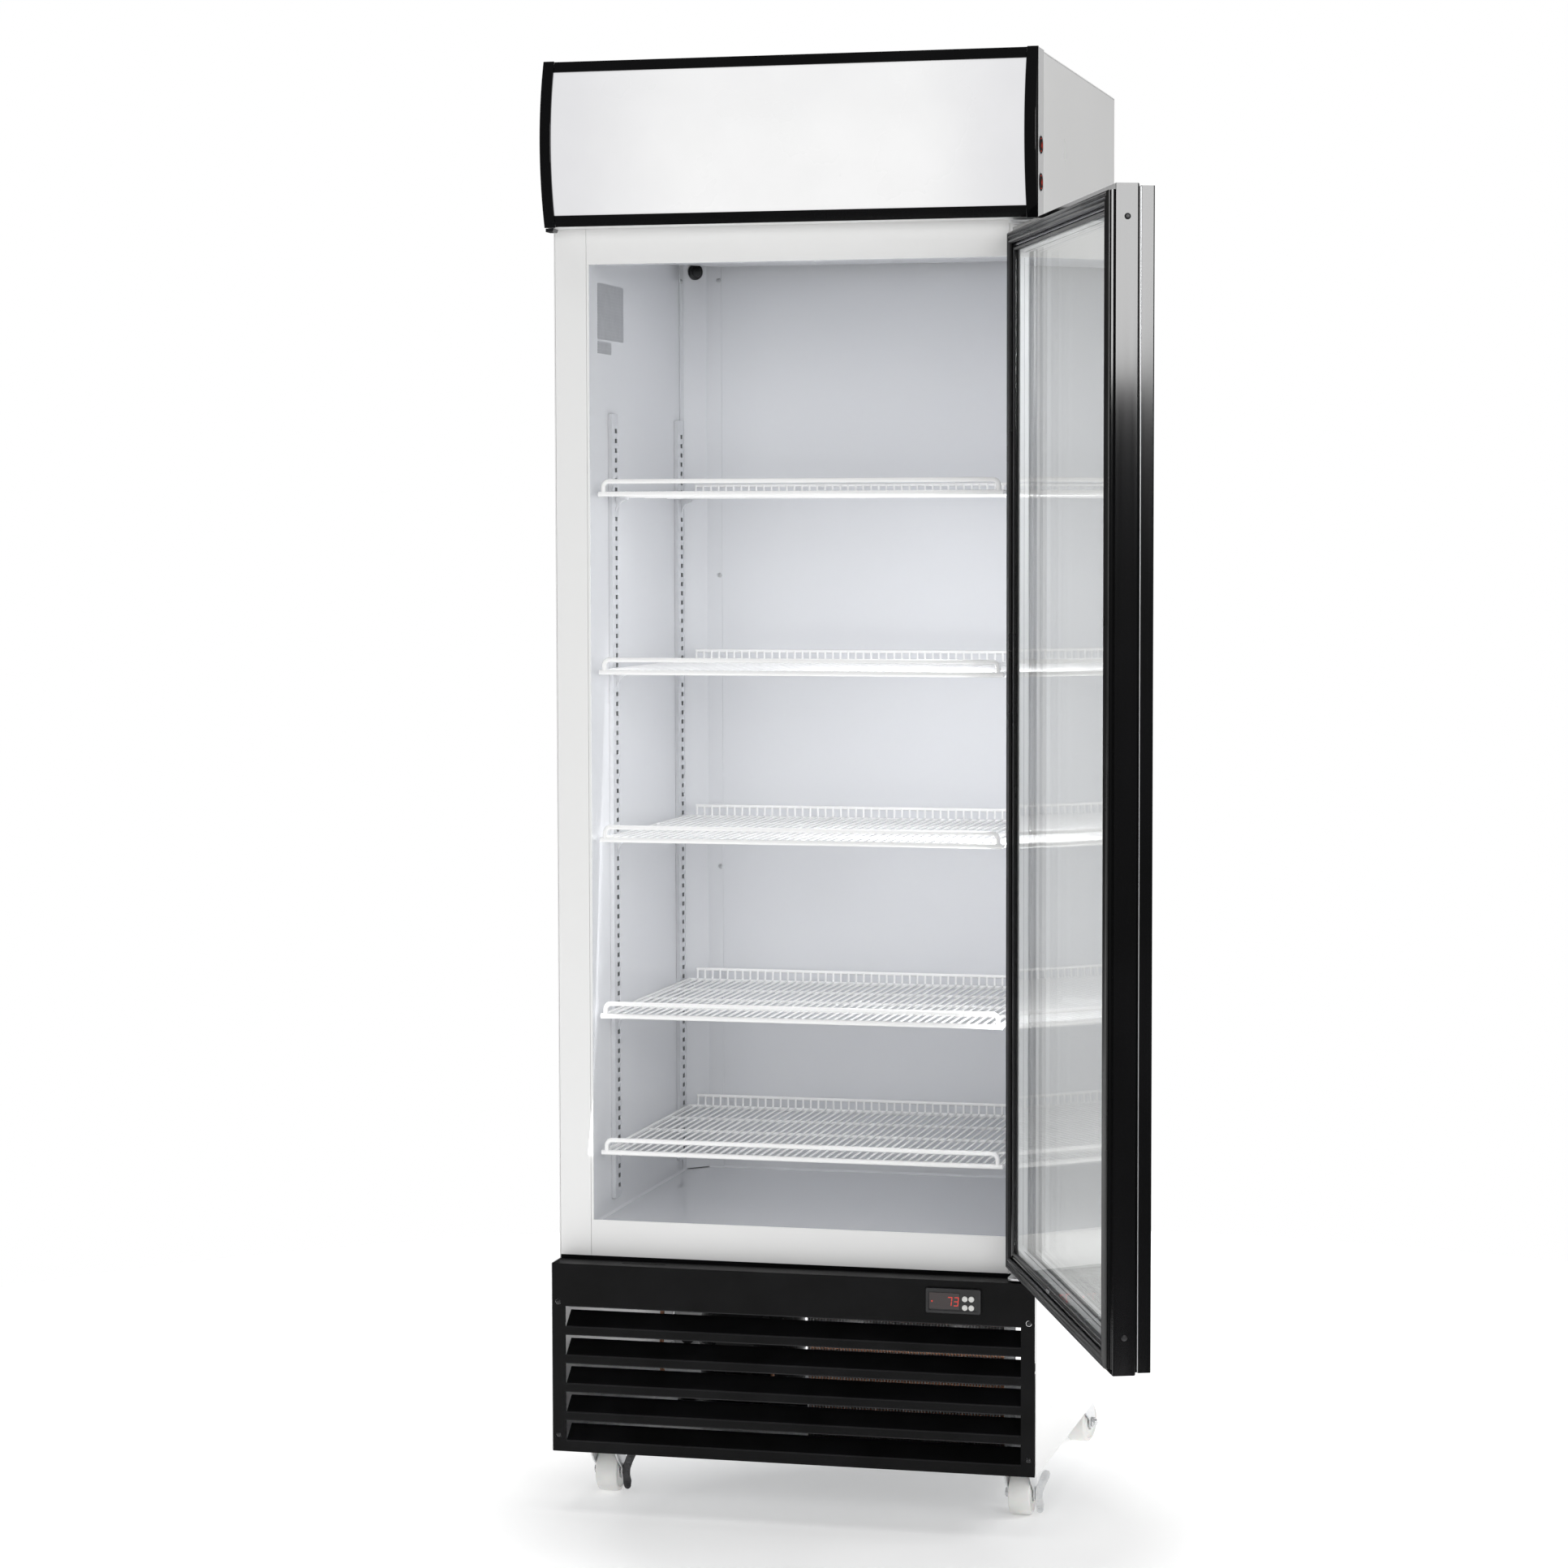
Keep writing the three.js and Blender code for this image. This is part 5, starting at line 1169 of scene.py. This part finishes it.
def evaporator():
    lo, hi = mm_box("evaporator_coil")
    fins = Shape()
    pitch = 5.5
    for i in range(int((hi[0] - lo[0]) / pitch)):
        x = lo[0] + 1 + i * pitch
        fins.box((x, x + 0.5), (lo[1], hi[1]), (lo[2], lo[2] + 100))
    fins.make("evaporator_fins", FIN_ALUMINIUM, "aluminium", ["evaporator_coil"])
    rows, layers, layer = 4, 3, 30
    bend = layer / 2
    tubes = Shape()
    for row in range(rows):
        for level in range(layers):
            py, pz = lo[1] + 28 + row * 46, lo[2] + 20 + level * layer
            tubes.tube([(lo[0] - 6, py, pz), (hi[0] + 6, py, pz)], 4.2, 10)
            if level < layers - 1:
                turn = [(hi[0] + 6 + 13 * math.sin(t), py, pz + bend - bend * math.cos(t))
                        for t in [math.pi * k / 6 for k in range(7)]]
                tubes.tube([(hi[0] + 4, py, pz)] + turn + [(hi[0] + 4, py, pz + layer)], 4.2, 8)
    tubes.make("evaporator_tubes", COPPER, "aluminium", sharp=60)
    hangers = Shape()
    for x in (lo[0] + 3, hi[0] - 6):
        hangers.box((x, x + 3), (lo[1] + 60, lo[1] + 90), (lo[2] + 96, hi[2]))
    hangers.make("evaporator_hangers", ZINC, "aluminium", bevel=0.3)
    fan("evaporator_fan", (0, 0, 1), 5, 72.0)
    centre = joint_at("evaporator_fan_spin")
    centre.z = mm_box("evaporator_cover")[0][2] - 1.4

    def around(r, t, lift=0.0):
        return centre + Vector((r * math.cos(t), r * math.sin(t), lift))

    guard = Shape()
    for r in (20, 34, 48, 62, 76, 88):
        guard.tube([around(r, FULL_TURN * k / 48) for k in range(48)], 1.3, 6, closed=True)
    for k in range(6):
        t = math.pi / 6 + math.pi * k / 3
        guard.tube([around(20, t, 0.2), around(92, t, 0.2)], 1.5, 6)
    guard.make("evaporator_fan_guard", COATED_WIRE, "white_wire", sharp=60)


# ---------------- casters
def half_width(node, turn):
    lo, hi = mm_box(node, turn)
    return (hi[0] - lo[0]) / 2


def caster(name):
    """Race, fork, axle, nut and wheel, and on a front caster the brake lever, drawn facing forwards and turned."""
    front = name.startswith("front")
    axis = Vector(JOINTS[f"wheel_roll_{name}"]["axis"])
    turn = Matrix.Translation((*CASTER_AT[name], 0)) @ Matrix.Rotation(math.atan2(axis.y, axis.x), 4, "Z")
    top = mm_box(f"caster_fork_{name}", turn)[1][2]
    swivel = {"body": f"swivel_{name}", "turn": turn}
    trail, hub_z, bridge = 22.0, 30.0, 72.0
    hub = (0, trail, hub_z)
    across = (1, 0, 0)
    head = Shape().lathe([(0, 74.6), (19, 74.6), (23.5, 76.2), (24, 77.6), (24, 79.0), (22.6, 80.0),
                          (22.6, 81.0),
                          (24, 82.0), (24, top), (0, top)], (0, 0, 0), (0, 0, 1), 40)
    head.make(f"caster_race_{name}", STEEL_BRIGHT, "zinc", sharp=40, **swivel)
    w = half_width(f"caster_wheel_{name}", turn)
    inner, outer = w + 1.3, w + 3.9
    fork = Shape().box((-outer, outer), (-19, 23), (bridge, bridge + 2.6))
    side = [(-19, bridge + 0.1), (-18.5, bridge - 9), (-7, bridge - 22), (trail - 11, hub_z + 6)]
    side += arc(trail, hub_z, 10.0, 160, 360, 10)
    side += [(trail + 10.5, hub_z + 8), (trail + 6, bridge - 16), (23, bridge - 6), (23, bridge + 0.1)]
    for span in ((inner, outer), (-outer, -inner)):
        fork.prism(side, "x", *span)
    fork.make(f"caster_fork_{name}_stamping", ZINC, "zinc", [f"caster_fork_{name}"], bevel=0.5, **swivel)
    axle = Shape().lathe([(0, -outer - 4.4), (5.6, -outer - 4.4), (6.8, -outer - 3.4), (6.8, -outer - 0.2),
                          (4.9, -outer - 0.2), (4.9, outer + 0.2), (4.9, outer + 5.6), (4.2, outer + 6.8),
                          (0, outer + 6.8)], hub, across, 24)
    axle.make(f"caster_axle_{name}", STEEL_BRIGHT, "zinc", sharp=30, **swivel)
    near = outer + (4.1 if front else 0.3)
    nut = Shape().lathe([(5.1, near), (8.2, near), (8.2, near + 2.6), (7.4, near + 3.2), (5.1, near + 3.2)],
                        hub, across, 6)
    nut.make(f"caster_nut_{name}", STEEL_BRIGHT, "zinc", bevel=0.3, **swivel)
    half_profile = [(5.4, 1.5), (10.5, 1.5), (11.5, 0.3), (13, 0), (15, 1.8), (20, 2.4), (23.5, 1.6), (24.5, 0),
                    (27, 0), (29, 1.2), (30, 3.6)]
    profile = [(r, d - w) for r, d in half_profile] + [(r, w - d) for r, d in half_profile[::-1]]
    wheel = Shape().lathe(profile, hub, across, 64)
    wheel.make(f"caster_tyre_{name}", NYLON, "nylon", [f"caster_wheel_{name}"], f"wheel_{name}", turn=turn,
               sharp=28)
    if not front:
        return
    brake = {"body": f"brake_{name}", "turn": turn}
    x0 = outer + 0.5
    leaf = [(0, 8), (0, -8), (0.6, -17), (1.8, -22)] + arc(6.6, -20.4, 5.0, 200, 350, 8)
    leaf += [(12.4, -13), (10.4, -5), (10.6, 3), (14.0, 13), (19.6, 25)] + arc(14.8, 29.6, 6.0, -30, 160, 9)
    leaf += [(5.4, 22), (2.0, 13)]
    lever = Shape().prism([(x0 + u, hub_z + v) for u, v in leaf], "y", trail - 9.4, trail - 6.8)
    ribs = 4
    for z0, z1, at in ((20, 32, 13.0), (-22, -14, 6.4)):
        for k in range(ribs):
            h = hub_z + z0 + (z1 - z0) * (k + 0.5) / ribs
            lever.box((x0 + at - 3.4, x0 + at + 3.4), (trail - 10.1, trail - 9.3), (h - 0.5, h + 0.5))
    # The left front brake gets the darkened zinc, painted shade; the right one keeps plain zinc.
    finish = BRAKE_ZINC_PAINTED_SHADE if name.endswith("left") else ZINC
    lever.make(f"caster_brake_{name}_lever", finish, "zinc", [f"caster_brake_{name}"], bevel=0.4, **brake)
    boss = Shape().lathe([(5.5, x0), (9.8, x0), (9.8, x0 + 2.0), (9.0, x0 + 2.9), (7.4, x0 + 3.4),
                          (5.5, x0 + 3.4)],
                         hub, across, 28)
    boss.make(f"caster_brake_{name}_boss", finish, "zinc", sharp=30, **brake)


cabinet_shell()
liner_details()
corner_columns()
standards()
shelves()
canopy()
rockers()
door()
hinges()
grille()
controller()
chassis()
compressor()
condenser()
rear_details()
evaporator()
for caster_name in CASTER_AT:
    caster(caster_name)

CAD_PAINT = {"insulated_wall_right": LINER, "insulated_wall_left": LINER, "insulated_wall_rear": LINER,
             "insulated_roof": LINER, "evaporator_cover": LINER, "insulated_floor": LINER_GLOSS,
             "rear_and_top_skin": ENAMEL}
for node, finish in CAD_PAINT.items():
    mats = NODES[node].data.materials
    mats.clear()
    mats.append(finish)


# ---------------- stage, lights, camera
def stage():
    """White floor disc, self lit away from the cabinet so that it fades into the background; near the cabinet its
    glow is turned down, a painted shade that deepens the cabinet's shadow.
    """
    radius, below = 2300, -0.5
    floor = Shape().lathe([(0, -20), (radius, -20), (radius, below), (0, below)], (120, 100, 0), (0, 0, 1), 96)
    mesh = floor.mesh("floor")
    obj = bpy.data.objects.new("floor", mesh)
    bpy.context.scene.collection.objects.link(obj)
    m = Nodes("floor_white")
    m.colour(m.noise(1.5, 3), grey(0.86), grey(0.88))
    m.gloss(m.noise(3, 3), 0.5, 0.6)
    # Glow grows with distance from the cabinet: dim close to it as painted shade, bright far off.
    away = m.node("ShaderNodeVectorMath", m.coord.outputs["Object"], operation="LENGTH")
    glow = m.span(away.outputs["Value"], 0.16, 0.8, (0.34, 0.84))
    m.link(glow, m.shader.inputs["Emission Strength"])
    m.set(Specular_IOR_Level=0.2, Emission_Color=(1, 1, 1, 1))
    mesh.materials.append(m.mat)


def area(name, where, target, size, power, mirrored=True):
    """Soft rectangular light at a point in cabinet millimetres, aimed at another."""
    data = bpy.data.lights.new(name, "AREA")
    data.shape = "RECTANGLE"
    data.size, data.size_y = size[0] * MM, size[1] * MM
    data.energy = power
    obj = bpy.data.objects.new(name, data)
    obj.location = TO_ROW @ Vector(where)
    way = (TO_ROW @ Vector(target)) - obj.location
    obj.rotation_euler = way.to_track_quat("-Z", "Y").to_euler()
    obj.visible_camera = False
    obj.visible_glossy = mirrored
    bpy.context.scene.collection.objects.link(obj)


def world():
    """White to the camera, softer to matt surfaces, dark in mirrors."""
    w = bpy.data.worlds.new("studio")
    bpy.context.scene.world = w
    w.use_nodes = True
    tree = w.node_tree
    path = tree.nodes.new("ShaderNodeLightPath")
    soft = tree.nodes.new("ShaderNodeBackground")
    dark = tree.nodes.new("ShaderNodeBackground")
    bright = tree.nodes["Background"]
    for background, strength in ((soft, 0.42), (dark, 0.05), (bright, 1.0)):
        background.inputs["Color"].default_value = (1, 1, 1, 1)
        background.inputs["Strength"].default_value = strength
    unseen = tree.nodes.new("ShaderNodeMixShader")
    seen = tree.nodes.new("ShaderNodeMixShader")
    for mix, ray, low, high in ((unseen, "Is Glossy Ray", soft, dark), (seen, "Is Camera Ray", unseen, bright)):
        tree.links.new(path.outputs[ray], mix.inputs["Fac"])
        tree.links.new(low.outputs[0], mix.inputs[1])
        tree.links.new(high.outputs[0], mix.inputs[2])
    tree.links.new(seen.outputs[0], tree.nodes["World Output"].inputs["Surface"])


def camera():
    data = bpy.data.cameras.new("camera")
    cam = bpy.data.objects.new("camera", data)
    bpy.context.scene.collection.objects.link(cam)
    yaw, pitch, roll = 0.243683, 0.063497, -0.0023611
    eye = Vector((1283.77, -5189.71, 1369.52))
    fwd = Vector((-math.sin(yaw) * math.cos(pitch), math.cos(yaw) * math.cos(pitch), -math.sin(pitch)))
    right = Vector((math.cos(yaw), math.sin(yaw), 0))
    up = right.cross(fwd)
    x_axis = math.cos(roll) * right + math.sin(roll) * up
    y_axis = -math.sin(roll) * right + math.cos(roll) * up
    rows = Matrix((x_axis, y_axis, -fwd)).transposed().to_4x4()
    cam.matrix_world = Matrix.Translation(TO_ROW @ eye) @ rows
    data.sensor_width = 36.0
    data.lens = 89.89658385
    data.clip_start, data.clip_end = 0.1, 200
    data.dof.use_dof = False
    bpy.context.scene.camera = cam


stage()
world()
camera()
area("key_right", (2743, -3961, 2455), (563, -601, 2455), (2000, 1500), 64)
area("front_fill", (-300, -4600, 1900), (0, 300, 1200), (2400, 2200), 42, False)
area("side_fill", (4100, 600, 3900), (300, 300, 1950), (2400, 2000), 78, False)
area("top_light", (0, -300, 4600), (0, 100, 900), (3000, 2600), 44, False)
for side, watts in ((-1, 0.5), (1, 2.9)):
    area(f"inner_strip_{side}", (side * 280, 75, 1000), (side * -120, 420, 960), (30, 1000), watts, False)
bpy.context.scene.view_settings.view_transform = "Standard"
bpy.context.scene.view_settings.look = "None"
bpy.context.scene.view_settings.exposure = 0.0
